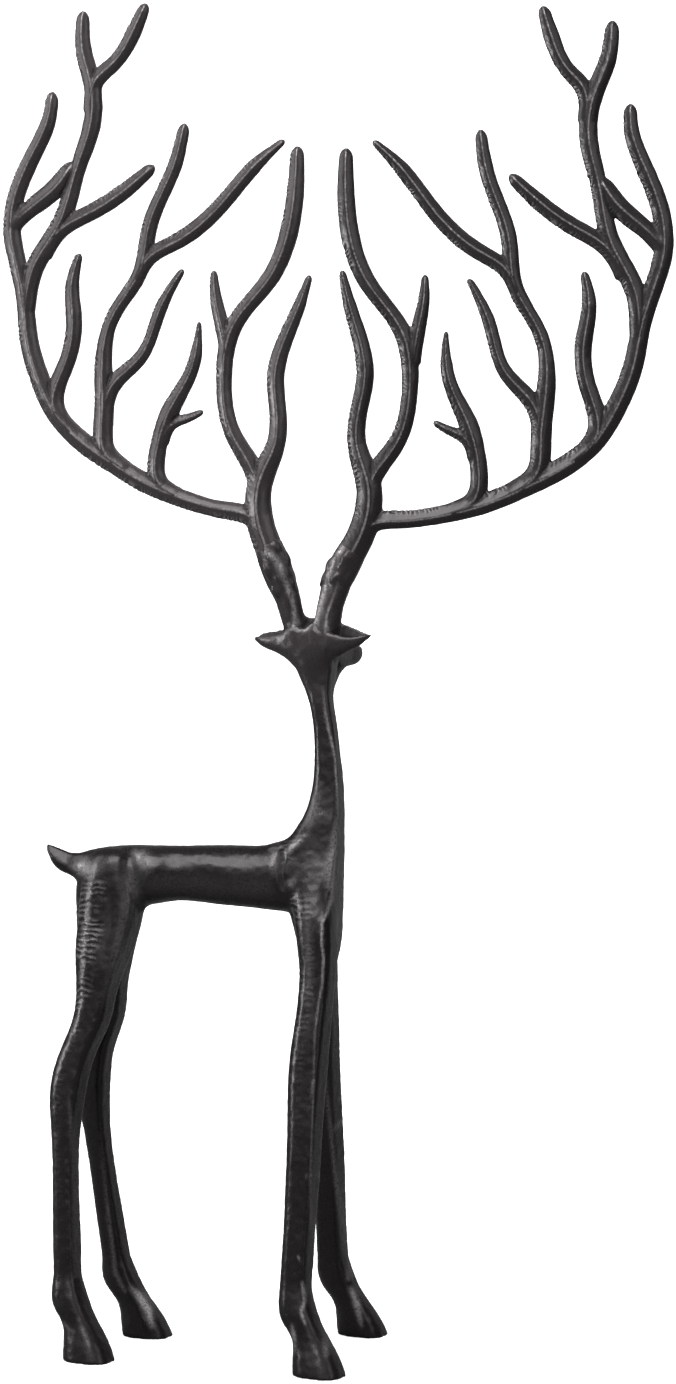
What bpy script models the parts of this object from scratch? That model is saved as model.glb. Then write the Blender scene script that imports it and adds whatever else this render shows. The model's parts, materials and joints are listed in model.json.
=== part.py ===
# A tall cast reindeer figure: a body with head and legs, and two branching antlers.
# All sizes are in millimetres in the design, and become metres in the meshes.
# +X is the way the body faces, +Y the way the head is turned, and +Z is up.
import math

import bmesh
import bpy
import numpy as np
from mathutils import Matrix, Vector

# Driving dimensions
METRES_PER_MM = 0.001
NECK_AXIS_X = -13.8  # where the head's axis stands, from the middle of the whole figure
NECK_AXIS_Y = -1.2
EAR_HEIGHT = 322.0  # above the floor that the hooves stand on
HEAD_SHIFT_X = 3.8  # the head sits a little ahead of the antlers' common axis
HEAD_TURN = 14.0  # degrees that the face looks ahead of straight sideways
ANTLER_LEAN = 5.8  # degrees that both antlers lean towards the nape
ANTLER_SWEEP = 2.6  # degrees that each antler's outer side is swept towards the face
ANTLER_ROLL = 4.4  # degrees that the pair is tipped ahead
JOINT_GAP = 0.3  # between an antler's foot and the stub on the head that carries it
TINE_DEPTH = 0.92  # a tine's depth over its width
TINE_EDGE = 0.34  # half height of a tine's blunt side edge, over its half width
TINE_STEP = 7.5  # spacing of the sections along a tine
TIP_START = 0.7  # a tip starts to round off this far short of its end, over its half width
TIP_END = 0.5  # what is left of the half width at the very end
BAR_STEP = 8.5  # spacing of the sections along the legs, neck and trunk

# Each tine of an antler: its centre line as (outward, up) from the head's axis at ear height,
# and its half widths, spread evenly along it. The first is the stem on the head.
TINES = {
    "stem": ([(13.4, 27), (17.8, 36.5), (22.2, 46), (25, 56), (24.3, 70), (18.3, 86), (18.1, 101),
              (19.9, 117), (16.7, 132), (11, 147), (6.3, 162.3)],
             [6.6, 6.4, 6.2, 5.6, 4.2, 3.9, 4.0, 3.6, 3.0, 1.5]),
    "innerLong": ([(24.4, 58), (26, 70), (37.5, 89), (42.5, 113), (38.5, 137), (21.5, 159),
                   (12.5, 182), (10, 217)],
                  [5.0, 4.3, 3.7, 3.6, 4.1, 3.7, 4.0, 4.2, 3.7, 2.0]),
    "innerSpur": ([(42.4, 124), (44, 135), (47.3, 151), (48, 162.5)], [3.6, 3.5, 2.8, 1.6]),
    "beam": ([(19, 41), (27, 52), (42, 55), (59, 58.3), (76, 63.5), (94, 72), (112, 82.5),
              (124, 93), (133.3, 109), (139.6, 127), (142.3, 145), (146.8, 163), (149.8, 177),
              (147, 196), (138.2, 215), (132.6, 229), (131.7, 239.5)],
             [5.6, 4.3, 3.9, 4.2, 4.5, 4.6, 4.7, 4.6, 4.6, 4.4, 4.2, 4.0, 4.2, 4.0, 3.8, 3.2, 2.0]),
    "lowTine": ([(64, 60), (73, 66), (74.3, 80), (67.7, 100.5), (59, 117.5), (56.4, 139)],
                [4.2, 4.1, 3.9, 4.3, 3.4, 2.8, 1.0]),
    "lowSpur": ([(72.5, 84), (68, 92), (60, 95.5), (52.7, 99)], [3.6, 2.9, 2.2, 1.4]),
    "midTine": ([(90, 70), (100, 79), (101.3, 95), (102.3, 116), (98.3, 139.5), (85.6, 160.5),
                 (82, 180), (71.1, 207), (66.7, 226.5)],
                [4.8, 4.6, 4.7, 4.2, 3.3, 3.2, 3.7, 3.6, 3.2, 3.1, 2.1]),
    "midInner": ([(101.4, 96), (97.5, 108), (84, 122), (75.7, 142.6), (65, 162)],
                 [4.2, 3.7, 3.0, 2.9, 1.5]),
    "midUpper": ([(88, 155), (81, 167), (70, 173.4), (48.4, 190.3), (32, 209), (18.9, 220)],
                 [3.5, 3.6, 3.8, 3.6, 3.4, 1.5]),
    "highTine": ([(117, 86), (125.8, 98), (120.5, 118), (117.6, 137), (118.9, 153), (115.7, 167.5)],
                 [4.3, 4.6, 3.9, 3.6, 3.4, 2.9, 1.0]),
    "crownStem": ([(141.4, 141), (138.2, 160), (126.5, 180), (119.3, 204), (113, 225.5),
                   (114, 243), (118.8, 258), (119.6, 275)],
                  [4.3, 4.3, 4.4, 4.0, 3.7, 4.1, 4.0, 3.6, 2.5]),
    "crownInner": ([(133.5, 166), (126, 177), (110.7, 186), (95, 195.8), (80.7, 207.5)],
                   [4.0, 3.8, 3.8, 3.7, 2.0]),
    "crownTop": ([(112.6, 231), (110.5, 245), (102.5, 253), (95, 265), (89, 279.5)],
                 [3.6, 3.8, 3.3, 3.4, 2.0]),
    "bridge": ([(149.5, 179), (142.5, 185.5), (134.5, 191.5), (127, 198), (120, 208)],
               [4.1, 4.0, 4.4, 4.6, 3.6]),
}
ANTLER_SEAT = {-1: (0.0, -0.4), 1: (0.5, 0.4)}  # (ahead, up), as each was fixed on by hand
# Each antler's tines are bent a little their own way: how far a tip stands off (outward, up),
# on the antler over the back of the body and, with the other sign, on the one over its chest.
TIP_BENDS = {"stem": (-1.6, -1), "innerLong": (2.8, 0.5), "innerSpur": (2.4, -0.5),
             "crownTop": (-1.8, -0.4), "crownStem": (-2, 0.5)}

# The near legs: level sections as (height, x, y, half x, half y), from the head's axis.
NEAR_HIND = [(223, -89.5, -4.5, 7, 4.5), (211, -89.2, -6.5, 12, 8.2), (198, -89, -8, 13.2, 9),
             (187, -90.3, -9.5, 12.4, 8.6), (174, -92.4, -12, 9.9, 8), (162, -94.4, -14.5, 8.2, 7.4),
             (149, -96.2, -16.5, 7.8, 6.8), (133, -102.7, -18.5, 7.6, 6.2), (118, -106, -20.5, 7.5, 6),
             (100, -106.2, -23, 5.8, 5.4), (67, -104.3, -27.5, 5.2, 5.1), (36, -102, -31.5, 5.8, 5.6)]
NEAR_FRONT = [(216, 4.6, -4, 9, 6), (200, 6.2, -7.5, 9.6, 8.6), (178, 8.6, -11, 7.8, 7.2),
              (161, 8.4, -13.5, 7.1, 6.6), (146, 7.3, -16, 7.4, 6.8), (128, 6.1, -18.5, 7.7, 6.8),
              (108, 6, -22, 7.0, 6.4), (82, 5.9, -26, 6.6, 6), (57, 5.3, -29.5, 6.2, 5.7),
              (36, 4.8, -32.5, 6.4, 5.9)]
# A hoof: (height, how far ahead of the shank, half length, half width)
HOOF = [(24, 2.6, 7.9, 6.8), (15, 8.4, 7.8, 6.6), (7, 11.4, 9.9, 7.8), (0, 13, 11.2, 8.6)]
LEGS = {
    # stations, how far the top and the foot stand ahead of those, how much wider the foot stands,
    # the side, and how many degrees the foot is turned towards the near side
    "near_hind": (NEAR_HIND, (0.0, 0.0), 0.0, -1, 10.0),
    "far_hind": (NEAR_HIND, (-6.0, 8.0), -17.0, 1, 6.0),
    "near_front": (NEAR_FRONT, (0.0, 0.0), 0.0, -1, 24.0),
    "far_front": (NEAR_FRONT, (-6.8, -3.8), 12.0, 1, 18.0),
}
# The trunk: upright sections as (x, y, height, half y, half height).
TRUNK = [(-103, -3, 217.5, 5, 6.4), (-99.5, -3, 216.5, 8.6, 9.8), (-91, -3, 214.5, 11.4, 12.6),
         (-76, -2, 213.8, 12.6, 13.8), (-60, -1, 215, 11.6, 12.3), (-40, 0, 214.6, 11.8, 13.2),
         (-23, 0.5, 214, 12.2, 13.8), (-8, 1, 213.5, 12.6, 15.2), (6, 1.5, 213, 12.0, 15.5)]
# The neck, from the chest to the ears: level sections as (height, x, y, half x, half y).
NECK = [(184, 7.4, 1, 7.5, 11), (196, 6.4, 1, 9.4, 12.3), (208, 4.8, 1, 11.2, 12.2),
        (220, 4.2, 1, 12.2, 11.6), (232, 5.6, 1, 11.4, 10.2), (241, 8.4, 1, 9.0, 8.8),
        (254, 10.4, 0.8, 6.8, 7), (267, 10.2, 0.5, 5.5, 6), (282, 9.1, 0.4, 4.9, 5.6),
        (297, 6.6, 1.6, 5.1, 6.6), (306, 5, 4.5, 7.4, 9.6), (315, 4.2, 6.5, 11, 12)]
# The tail: upright sections as (x, height, half y, half height).
TAIL = [(-96, 216, 4.5, 8.0), (-104, 217, 4.3, 7.2), (-110, 218.2, 3.9, 5.8),
        (-116, 220.3, 3.3, 5.2), (-120, 223.2, 2.4, 3.9), (-122.6, 226.2, 1.0, 1.4)]
# The head, along the way it faces: (distance, height, half width, half height)
SKULL = [(-8, -2.6, 7, 5.5), (-4, -2, 9.4, 8.6), (3, -1.2, 9.4, 10.2), (11, -2.6, 8.2, 8.6),
         (20, -4.8, 6.2, 6.4), (29, -6.4, 5.2, 5.0), (37, -7, 4.8, 4.2), (40, -7.2, 3.0, 2.8)]
# One ear, outward from the head's middle: (distance, back, height, half depth, half height)
EAR = [(3, -3, -5, 4.0, 10.0), (9, -3.4, -3.8, 3.6, 8.4), (15, -3.2, -2.2, 2.8, 5.8),
       (21, -2.6, -1.1, 2.1, 3.8), (26, -2, -0.4, 1.4, 2.2), (29.4, -1.6, 0, 0.5, 0.6)]
STUB_ROOT = 7.4  # each stub's distance from the head's middle, at ear height
STUB_WIDTHS = [5.8, 5.0, 5.3, 6.6]


def clear_scene():
    for item in list(bpy.data.objects):
        bpy.data.objects.remove(item, do_unlink=True)


def smooth_rows(rows, step):
    """A natural cubic spline through the rows, read at about every step along its first columns."""
    rows = np.array(rows, float)
    reach = rows[:, :3] if rows.shape[1] > 2 else rows
    gaps = np.linalg.norm(np.diff(reach, axis=0), axis=1)
    knots = np.concatenate([[0.0], np.cumsum(gaps)])
    count = len(rows)
    system = np.eye(count)
    pull = np.zeros_like(rows)
    for i in range(1, count - 1):
        left, right = gaps[i - 1], gaps[i]
        system[i, i - 1 : i + 2] = left, 2 * (left + right), right
        slopes = (rows[i + 1] - rows[i]) / right - (rows[i] - rows[i - 1]) / left
        pull[i] = 6 * slopes
    bends = np.linalg.solve(system, pull)
    samples = np.linspace(0, knots[-1], max(3, round(knots[-1] / step) + 1))
    out = []
    for s in samples:
        i = min(int(np.searchsorted(knots, s, side="right")) - 1, count - 2)
        gap, a, b = gaps[i], knots[i + 1] - s, s - knots[i]
        value = (bends[i] * a**3 + bends[i + 1] * b**3) / (6 * gap)
        value += (rows[i] / gap - bends[i] * gap / 6) * a
        value += (rows[i + 1] / gap - bends[i + 1] * gap / 6) * b
        out.append(value)
    return np.array(out)


def loft(name, rings):
    """A closed solid through rings of the same number of points, given in millimetres."""
    mesh = bmesh.new()
    loops = [[mesh.verts.new(Vector(p) * METRES_PER_MM) for p in ring] for ring in rings]
    sides = len(loops[0])
    for lower, upper in zip(loops, loops[1:]):
        for i in range(sides):
            j = (i + 1) % sides
            mesh.faces.new((lower[i], lower[j], upper[j], upper[i]))
    mesh.faces.new(loops[0][::-1])
    mesh.faces.new(loops[-1])
    bmesh.ops.recalc_face_normals(mesh, faces=mesh.faces)
    if mesh.calc_volume(signed=True) < 0:
        bmesh.ops.reverse_faces(mesh, faces=mesh.faces)
    data = bpy.data.meshes.new(name)
    mesh.to_mesh(data)
    mesh.free()
    item = bpy.data.objects.new(name, data)
    bpy.context.scene.collection.objects.link(item)
    return item


def bevelled_square(flat):
    """Eight points of a square with its corners cut, flat being the part of each side left."""
    return [(1, -flat), (1, flat), (flat, 1), (-flat, 1), (-1, flat), (-1, -flat), (-flat, -1), (flat, -1)]


def ridged_section():
    """A tine's six points: a ridge to the front and the back, and a blunt edge on each side."""
    edge, ridge = TINE_EDGE, TINE_DEPTH
    return [(1, -edge), (1, edge), (0, ridge), (-1, edge), (-1, -edge), (0, -ridge)]


def ring(centre, across, over, half_across, half_over, section):
    return [centre + across * (a * half_across) + over * (b * half_over) for a, b in section]


def antler_placing(side):
    """From an antler's own plane to the figure: lean and sweep, mirror, tip, and lift to the ears."""
    lean = Matrix.Rotation(math.radians(ANTLER_LEAN), 4, "X")
    sweep = Matrix.Rotation(math.radians(ANTLER_SWEEP), 4, "Z")
    mirror = Matrix.Diagonal((side, 1, 1, 1))
    roll = Matrix.Rotation(math.radians(ANTLER_ROLL), 4, "Y")
    ahead, up = ANTLER_SEAT[side]
    lift = Matrix.Translation((NECK_AXIS_X + ahead, NECK_AXIS_Y, EAR_HEIGHT + up))
    return lift @ roll @ mirror @ sweep @ lean


def tine_rings(name, side):
    """A tine's sections in its antler's plane, each square to the centre line."""
    points, widths = TINES[name]
    bend = Vector(TIP_BENDS.get(name, (0, 0))) * -side
    line = smooth_rows(points, TINE_STEP)
    along = np.linspace(0, 1, len(line))
    halves = np.interp(along, np.linspace(0, 1, len(widths)), widths)
    placing = antler_placing(side)
    line = [Vector(p) + bend * t for p, t in zip(line, along)]
    last = (line[-1] - line[-2]).normalized()
    line.insert(-1, line[-1] - last * (TIP_START * halves[-1]))
    halves = [*halves, TIP_END * halves[-1]]
    rings = []
    for i, half in enumerate(halves):
        ahead = line[min(i + 1, len(line) - 1)] - line[max(i - 1, 0)]
        across = Vector((ahead.y, 0, -ahead.x)).normalized()
        centre = Vector((line[i].x, 0, line[i].y))
        section = ring(centre, across, Vector((0, 1, 0)), half, half, ridged_section())
        rings.append([placing @ p for p in section])
    return rings


def stub_rings(side):
    """The stub of an antler on the head, up to a flat end just short of the antler's foot."""
    foot = tine_rings("stem", side)
    end, above = (sum(loop, Vector()) / len(loop) for loop in foot[:2])
    rise = (above - end).normalized()
    top = [p - rise * JOINT_GAP for p in foot[0]]
    across = (top[0] + top[1] - top[3] - top[4]).normalized()
    over = (top[2] - top[5]).normalized()
    root = Vector((NECK_AXIS_X + HEAD_SHIFT_X + side * STUB_ROOT, NECK_AXIS_Y, EAR_HEIGHT - 4))
    tip = end - rise * JOINT_GAP
    rings = []
    for i, half in enumerate(STUB_WIDTHS[:-1]):
        t = i / (len(STUB_WIDTHS) - 1)
        bow = Vector((-side * 1.4 * math.sin(math.pi * t), 0, 0))
        rings.append(ring(root.lerp(tip, t) + bow, across, over, half, half, ridged_section()))
    return rings + [top]


def standing_rings(stations, flat=0.55):
    """Sections that lie level, at (height, x, y, half x, half y)."""
    rings = []
    for z, x, y, half_x, half_y in smooth_rows(stations, BAR_STEP):
        centre = Vector((x + NECK_AXIS_X, y + NECK_AXIS_Y, z))
        rings.append(ring(centre, Vector((1, 0, 0)), Vector((0, 1, 0)), half_x, half_y,
                          bevelled_square(flat)))
    return rings


def leg_rings(stations, ahead, wider, side, turn):
    """A leg with its hoof: the near leg's stations, mirrored for a far one and led to its own foot."""
    shank = smooth_rows(stations, BAR_STEP)
    top, ankle = shank[0][0], shank[-1]
    splay = (ankle[2] - shank[-3][2]) / (ankle[0] - shank[-3][0])
    rows = [(z, x, y, 0, half_x, half_y) for z, x, y, half_x, half_y in shank]
    for z, reach, half_x, half_y in HOOF:
        rows.append((z, ankle[1], ankle[2] + (z - ankle[0]) * splay, reach, half_x, half_y))
    rings = []
    for z, x, y, reach, half_x, half_y in rows:
        down = (top - z) / top
        turned = Matrix.Rotation(-math.radians(turn) * min(1, 2 * down), 3, "Z")
        across, over = turned @ Vector((1, 0, 0)), turned @ Vector((0, 1, 0))
        lead = ahead[0] * (1 - down) + ahead[1] * down
        place = Vector((NECK_AXIS_X + x + lead, NECK_AXIS_Y - side * y + wider * down, z))
        rings.append(ring(place + across * reach, across, over, half_x, half_y, bevelled_square(0.55)))
    return rings


def trunk_rings():
    rings = []
    for x, y, z, half_y, half_z in smooth_rows(TRUNK, BAR_STEP):
        centre = Vector((x + NECK_AXIS_X, y + NECK_AXIS_Y, z))
        rings.append(ring(centre, Vector((0, 1, 0)), Vector((0, 0, 1)), half_y, half_z,
                          bevelled_square(0.5)))
    return rings


def tail_rings():
    rings = []
    for x, z, half_y, half_z in TAIL:
        centre = Vector((x + NECK_AXIS_X, NECK_AXIS_Y - 3, z))
        rings.append(ring(centre, Vector((0, 1, 0)), Vector((0, 0, 1)), half_y, half_z,
                          bevelled_square(0.45)))
    return rings


def head_parts():
    facing = Matrix.Rotation(math.radians(-HEAD_TURN), 3, "Z")
    ahead, right = facing @ Vector((0, 1, 0)), facing @ Vector((1, 0, 0))
    up = Vector((0, 0, 1))
    middle = Vector((NECK_AXIS_X + HEAD_SHIFT_X, NECK_AXIS_Y, EAR_HEIGHT))
    skull = [ring(middle + ahead * s + up * z, right, up, half_x, half_z, bevelled_square(0.5))
             for s, z, half_x, half_z in SKULL]
    parts = [loft("skull", skull)]
    for side in (-1, 1):
        rings = [ring(middle + right * (side * s) + ahead * back + up * z, ahead, up,
                      half_y, half_z, bevelled_square(0.4))
                 for s, back, z, half_y, half_z in EAR]
        parts.append(loft("ear", rings))
        parts.append(loft("stub", stub_rings(side)))
    return parts


def fuse(name, parts):
    """One closed solid from overlapping ones."""
    base = parts[0]
    for other in parts[1:]:
        join = base.modifiers.new("join", "BOOLEAN")
        join.operation = "UNION"
        join.solver = "EXACT"
        join.object = other
    bpy.context.view_layer.update()
    seen = base.evaluated_get(bpy.context.evaluated_depsgraph_get())
    mesh = bmesh.new()
    mesh.from_mesh(seen.to_mesh())
    bmesh.ops.remove_doubles(mesh, verts=mesh.verts, dist=0.00003)
    bmesh.ops.dissolve_degenerate(mesh, edges=mesh.edges, dist=0.00002)
    bmesh.ops.triangulate(mesh, faces=mesh.faces)
    data = bpy.data.meshes.new(name)
    mesh.to_mesh(data)
    mesh.free()
    for item in parts:
        bpy.data.objects.remove(item, do_unlink=True)
    whole = bpy.data.objects.new(name, data)
    bpy.context.scene.collection.objects.link(whole)
    return whole


def painted(item, name, colour, roughness):
    """Black paint on cast aluminium."""
    material = bpy.data.materials.new(name)
    material.use_nodes = True
    shader = material.node_tree.nodes["Principled BSDF"]
    shader.inputs["Base Color"].default_value = (*colour, 1)
    shader.inputs["Roughness"].default_value = roughness
    shader.inputs["Metallic"].default_value = 0.0
    item.data.materials.append(material)


def main():
    clear_scene()
    body = [loft("trunk", trunk_rings()), loft("neck", standing_rings(NECK)), loft("tail", tail_rings())]
    body += [loft(name, leg_rings(*spec)) for name, spec in LEGS.items()]
    body += head_parts()
    painted(fuse("body", body), "body_paint", (0.012, 0.012, 0.013), 0.42)
    for name, side in (("antler_rear", -1), ("antler_front", 1)):
        tines = [loft(tine, tine_rings(tine, side)) for tine in TINES]
        painted(fuse(name, tines), name + "_paint", (0.012, 0.012, 0.013), 0.42)


main()
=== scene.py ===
import json
import math

import bmesh
import bpy
import numpy as np
from mathutils import Matrix, Vector

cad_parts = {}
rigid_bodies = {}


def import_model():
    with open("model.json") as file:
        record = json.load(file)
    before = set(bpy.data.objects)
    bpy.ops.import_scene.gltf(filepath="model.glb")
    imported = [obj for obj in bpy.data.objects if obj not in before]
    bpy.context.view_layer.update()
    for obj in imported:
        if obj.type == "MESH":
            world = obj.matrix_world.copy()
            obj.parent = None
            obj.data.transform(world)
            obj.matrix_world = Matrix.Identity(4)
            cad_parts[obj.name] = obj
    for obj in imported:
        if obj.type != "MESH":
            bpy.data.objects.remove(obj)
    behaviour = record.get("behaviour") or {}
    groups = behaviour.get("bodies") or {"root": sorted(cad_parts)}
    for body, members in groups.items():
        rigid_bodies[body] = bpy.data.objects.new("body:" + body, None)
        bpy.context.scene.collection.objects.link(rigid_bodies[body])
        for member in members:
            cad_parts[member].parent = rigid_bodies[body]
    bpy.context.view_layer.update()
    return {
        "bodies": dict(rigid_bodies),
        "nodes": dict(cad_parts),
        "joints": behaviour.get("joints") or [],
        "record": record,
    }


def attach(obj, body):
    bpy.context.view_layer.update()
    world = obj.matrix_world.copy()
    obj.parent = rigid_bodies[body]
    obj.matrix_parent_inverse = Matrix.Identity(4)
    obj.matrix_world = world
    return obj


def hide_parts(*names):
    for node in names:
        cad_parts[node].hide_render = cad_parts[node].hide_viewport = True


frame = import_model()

mm = 0.001

# The whole figure. Lengths are in millimetres here, for the antlers, the body and the grain, else in metres.
figure = {
    "neckAxis": (-13.8, -1.2),  # where the head's axis stands
    "earHeight": 322.0,
    "headShift": 3.8,  # the head sits a little ahead of the antlers' common axis
    "headTurn": 14.0,  # degrees that the face looks ahead of straight sideways
}


nodeGrid = {"across": 12, "width": 180, "height": 220}  # how a tree's nodes are laid out, to be read


def node(tree, kind, inputs=None, **settings):
    # Adds one node. inputs fills its sockets, by name or number, with a value or another node's output.
    row, column = divmod(len(tree.nodes), nodeGrid["across"])
    made = tree.nodes.new(kind)
    made.location = (nodeGrid["width"] * column, -nodeGrid["height"] * row)
    for key, value in settings.items():
        setattr(made, key, value)
    for key, value in (inputs or {}).items():
        if isinstance(value, bpy.types.NodeSocket):
            tree.links.new(value, made.inputs[key])
        else:
            made.inputs[key].default_value = value
    return made


def mathNode(tree, operation, *values):
    return node(tree, "ShaderNodeMath", dict(enumerate(values)), operation=operation).outputs[0]


def addUp(tree, *terms):
    total = terms[0]
    for term in terms[1:]:
        total = mathNode(tree, "ADD", total, term)
    return total


def vectorNode(tree, operation, first, second):
    made = node(tree, "ShaderNodeVectorMath", {0: first, "Scale" if operation == "SCALE" else 1: second},
                operation=operation)
    return made.outputs["Value" if operation == "DOT_PRODUCT" else "Vector"]


def ranged(tree, value, span, least=0.0, most=1.0, kind="LINEAR"):
    # Takes a value that runs over span to one that runs from least to most, and goes no further.
    sockets = {"Value": value, "From Min": span[0], "From Max": span[1], "To Min": least, "To Max": most}
    return node(tree, "ShaderNodeMapRange", sockets, interpolation_type=kind).outputs[0]


def noise(tree, where, scale, detail, **inputs):
    return node(tree, "ShaderNodeTexNoise",
                {"Vector": where, "Scale": scale, "Detail": detail, **inputs}).outputs["Fac"]


def smoothRows(rows, step):
    # A natural cubic spline through the rows, read at about every step along their first three columns.
    rows = np.array(rows, float)
    gaps = np.linalg.norm(np.diff(rows[:, :3], axis=0), axis=1)
    knots = np.concatenate([[0.0], np.cumsum(gaps)])
    count = len(rows)
    system = np.eye(count)
    pull = np.zeros_like(rows)
    for i in range(1, count - 1):
        left, right = gaps[i - 1], gaps[i]
        system[i, i - 1 : i + 2] = left, 2 * (left + right), right
        pull[i] = 6 * ((rows[i + 1] - rows[i]) / right - (rows[i] - rows[i - 1]) / left)
    bends = np.linalg.solve(system, pull)
    s = np.linspace(0, knots[-1], max(3, round(knots[-1] / step) + 1))
    i = np.clip(np.searchsorted(knots, s, side="right") - 1, 0, count - 2)
    gap = gaps[i][:, None]
    a = (knots[i + 1] - s)[:, None]
    b = (s - knots[i])[:, None]
    out = (bends[i] * a**3 + bends[i + 1] * b**3) / (6 * gap)
    out += (rows[i] / gap - bends[i] * gap / 6) * a
    out += (rows[i + 1] / gap - bends[i + 1] * gap / 6) * b
    return out


def meshObject(name, points, edges=(), faces=(), **attributes):
    mesh = bpy.data.meshes.new(name)
    mesh.from_pydata([tuple(p) for p in points], list(edges), list(faces))
    for key, values in attributes.items():
        layer = mesh.attributes.new(key, "FLOAT", "POINT")
        layer.data.foreach_set("value", np.asarray(values, np.float32))
    made = bpy.data.objects.new(name, mesh)
    bpy.context.scene.collection.objects.link(made)
    return made


def geometryModifier(item, tree, **values):
    # Sets a tree on an object, and its named inputs by their sockets' identifiers.
    modifier = item.modifiers.new(tree.name, "NODES")
    modifier.node_group = tree
    sockets = {s.name: s.identifier for s in tree.interface.items_tree if s.item_type == "SOCKET"}
    for key, value in values.items():
        modifier[sockets[key]] = value


def plainMesh(item, name):
    # The evaluated object as a plain mesh in a new object, with the modifiers left behind.
    bpy.context.view_layer.update()
    graph = bpy.context.evaluated_depsgraph_get()
    mesh = bpy.data.meshes.new_from_object(item.evaluated_get(graph), depsgraph=graph)
    mesh.name = name
    made = bpy.data.objects.new(name, mesh)
    bpy.context.scene.collection.objects.link(made)
    return made


def remove(*items):
    for item in items:
        bpy.data.objects.remove(item, do_unlink=True)


stage = {
    "camera": (0.3649, -1.2939, 0.2972),
    "yaw": 15.7,  # degrees the camera is turned from straight along +Y
    "lens": 78.04,
    "film": 36.0,  # its height; it and the lens are in millimetres
    # the paper: half its width, its near edge, where it starts to rise, the radius of that curve, its top
    "sheet": (3.5, -3.0, 1.2, 0.8, 3.0),
    "curveSteps": 15,
    "paper": 0.45,  # what the camera sees the paper give back
    "paperReflected": 0.085,  # what the paper gives back to the figure, as black flags round a set do
    "paperGlow": 0.8,  # evens out what the camera sees of the paper
    "sky": 0.07,
    "skySeen": 0.95,
    # name: place, aim, (width, height), power. A wash lights the paper and leaves no highlight on the figure.
    "lights": {
        "keyLeft": ((-1.15, -0.3, 0.8), (0.0, 0.0, 0.45), (0.7, 1.0), 4.4),
        "keyLow": ((-1.1, -0.42, 0.31), (0.0, 0.0, 0.25), (0.2, 0.22), 1.9),
        "topFront": ((-0.35, -0.95, 1.25), (0.0, 0.0, 0.3), (0.8, 1.1), 14.0),
        "frontWall": ((-0.15, -1.6, 1.0), (0.0, 0.0, 0.5), (2.2, 1.1), 5.0),
        "rightWall": ((1.15, -0.75, 0.95), (0.0, 0.0, 0.5), (0.9, 0.9), 2.2),
        "fillRight": ((0.95, -0.8, 0.42), (0.0, 0.0, 0.3), (0.25, 0.75), 0.6),
        "rimRight": ((0.75, 1.2, 0.6), (0.0, 0.0, 0.3), (0.25, 1.1), 0.1),
        "washBack": ((0.3, 0.9, 2.3), (-0.5, 1.9, 0.9), (3.0, 1.0), 160.0),
        "washFloor": ((0.0, 0.5, 2.6), (0.0, 0.1, 0.0), (3.0, 1.6), 60.0),
    },
}


def seenAndReflected(tree, seen, reflected):
    # One value for what the camera sees of the set, another for the light it gives back.
    toCamera = node(tree, "ShaderNodeLightPath").outputs["Is Camera Ray"]
    return ranged(tree, toCamera, (0.0, 1.0), reflected, seen)


def makeCamera(s):
    camera = bpy.data.objects.new("camera", bpy.data.cameras.new("camera"))
    camera.location = s["camera"]
    camera.rotation_euler = (math.pi / 2, 0, math.radians(s["yaw"]))
    camera.data.sensor_fit = "VERTICAL"
    camera.data.sensor_height = s["film"]
    camera.data.lens = s["lens"]
    bpy.context.scene.collection.objects.link(camera)
    bpy.context.scene.camera = camera


def makePaper(s):
    # A floor that curves up into the backdrop, and can't be seen from its back.
    half, near, foot, radius, top = s["sheet"]
    turns = np.radians(np.linspace(0, 90, s["curveSteps"] + 1))
    curve = [(foot + radius * math.sin(a), radius - radius * math.cos(a)) for a in turns]
    profile = [(near, 0.0), *curve, (foot + radius, top)]
    points = [(x, y, z) for y, z in profile for x in (-half, half)]
    faces = [(2 * i, 2 * i + 1, 2 * i + 3, 2 * i + 2) for i in range(len(profile) - 1)]
    floor = meshObject("floor", points, faces=faces)
    floor.data.shade_smooth()
    paper = bpy.data.materials.new("paper")
    paper.use_nodes = True
    tree = paper.node_tree
    shader = tree.nodes["Principled BSDF"]
    shader.inputs["Roughness"].default_value = 1.0
    shader.inputs["Specular IOR Level"].default_value = 0.0
    shader.inputs["Emission Color"].default_value = (1, 1, 1, 1)
    behind = node(tree, "ShaderNodeNewGeometry").outputs["Backfacing"]
    for name, value in (("Base Color", seenAndReflected(tree, s["paper"], s["paperReflected"])),
                        ("Emission Strength", seenAndReflected(tree, s["paperGlow"], 0.0)),
                        ("Alpha", mathNode(tree, "SUBTRACT", 1.0, behind))):
        tree.links.new(value, shader.inputs[name])
    floor.data.materials.append(paper)


def makeLights(s):
    scene = bpy.context.scene
    world = bpy.data.worlds.new("studio")
    world.use_nodes = True
    sky = world.node_tree.nodes["Background"]
    sky.inputs["Color"].default_value = (1, 1, 1, 1)
    light = seenAndReflected(world.node_tree, s["skySeen"], s["sky"])
    world.node_tree.links.new(light, sky.inputs["Strength"])
    scene.world = world
    scene.view_settings.view_transform = "Standard"
    for name, (place, aim, size, power) in s["lights"].items():
        lamp = bpy.data.lights.new(name, "AREA")
        lamp.shape = "RECTANGLE"
        lamp.size, lamp.size_y = size
        lamp.energy = power
        item = bpy.data.objects.new(name, lamp)
        item.location = place
        item.rotation_euler = (Vector(aim) - Vector(place)).to_track_quat("-Z", "Y").to_euler()
        item.visible_glossy = not name.startswith("wash")
        scene.collection.objects.link(item)


makeCamera(stage)
makePaper(stage)
makeLights(stage)
print("stage set")


# The shared grain: how finely its noises are worked, and how coarse and deep its pits are beside its sand.
grainMake = {"detail": 3.0, "roughness": 0.65, "toneDetail": 4.0, "pitScale": 0.7, "pitDepth": 0.6}


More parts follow.
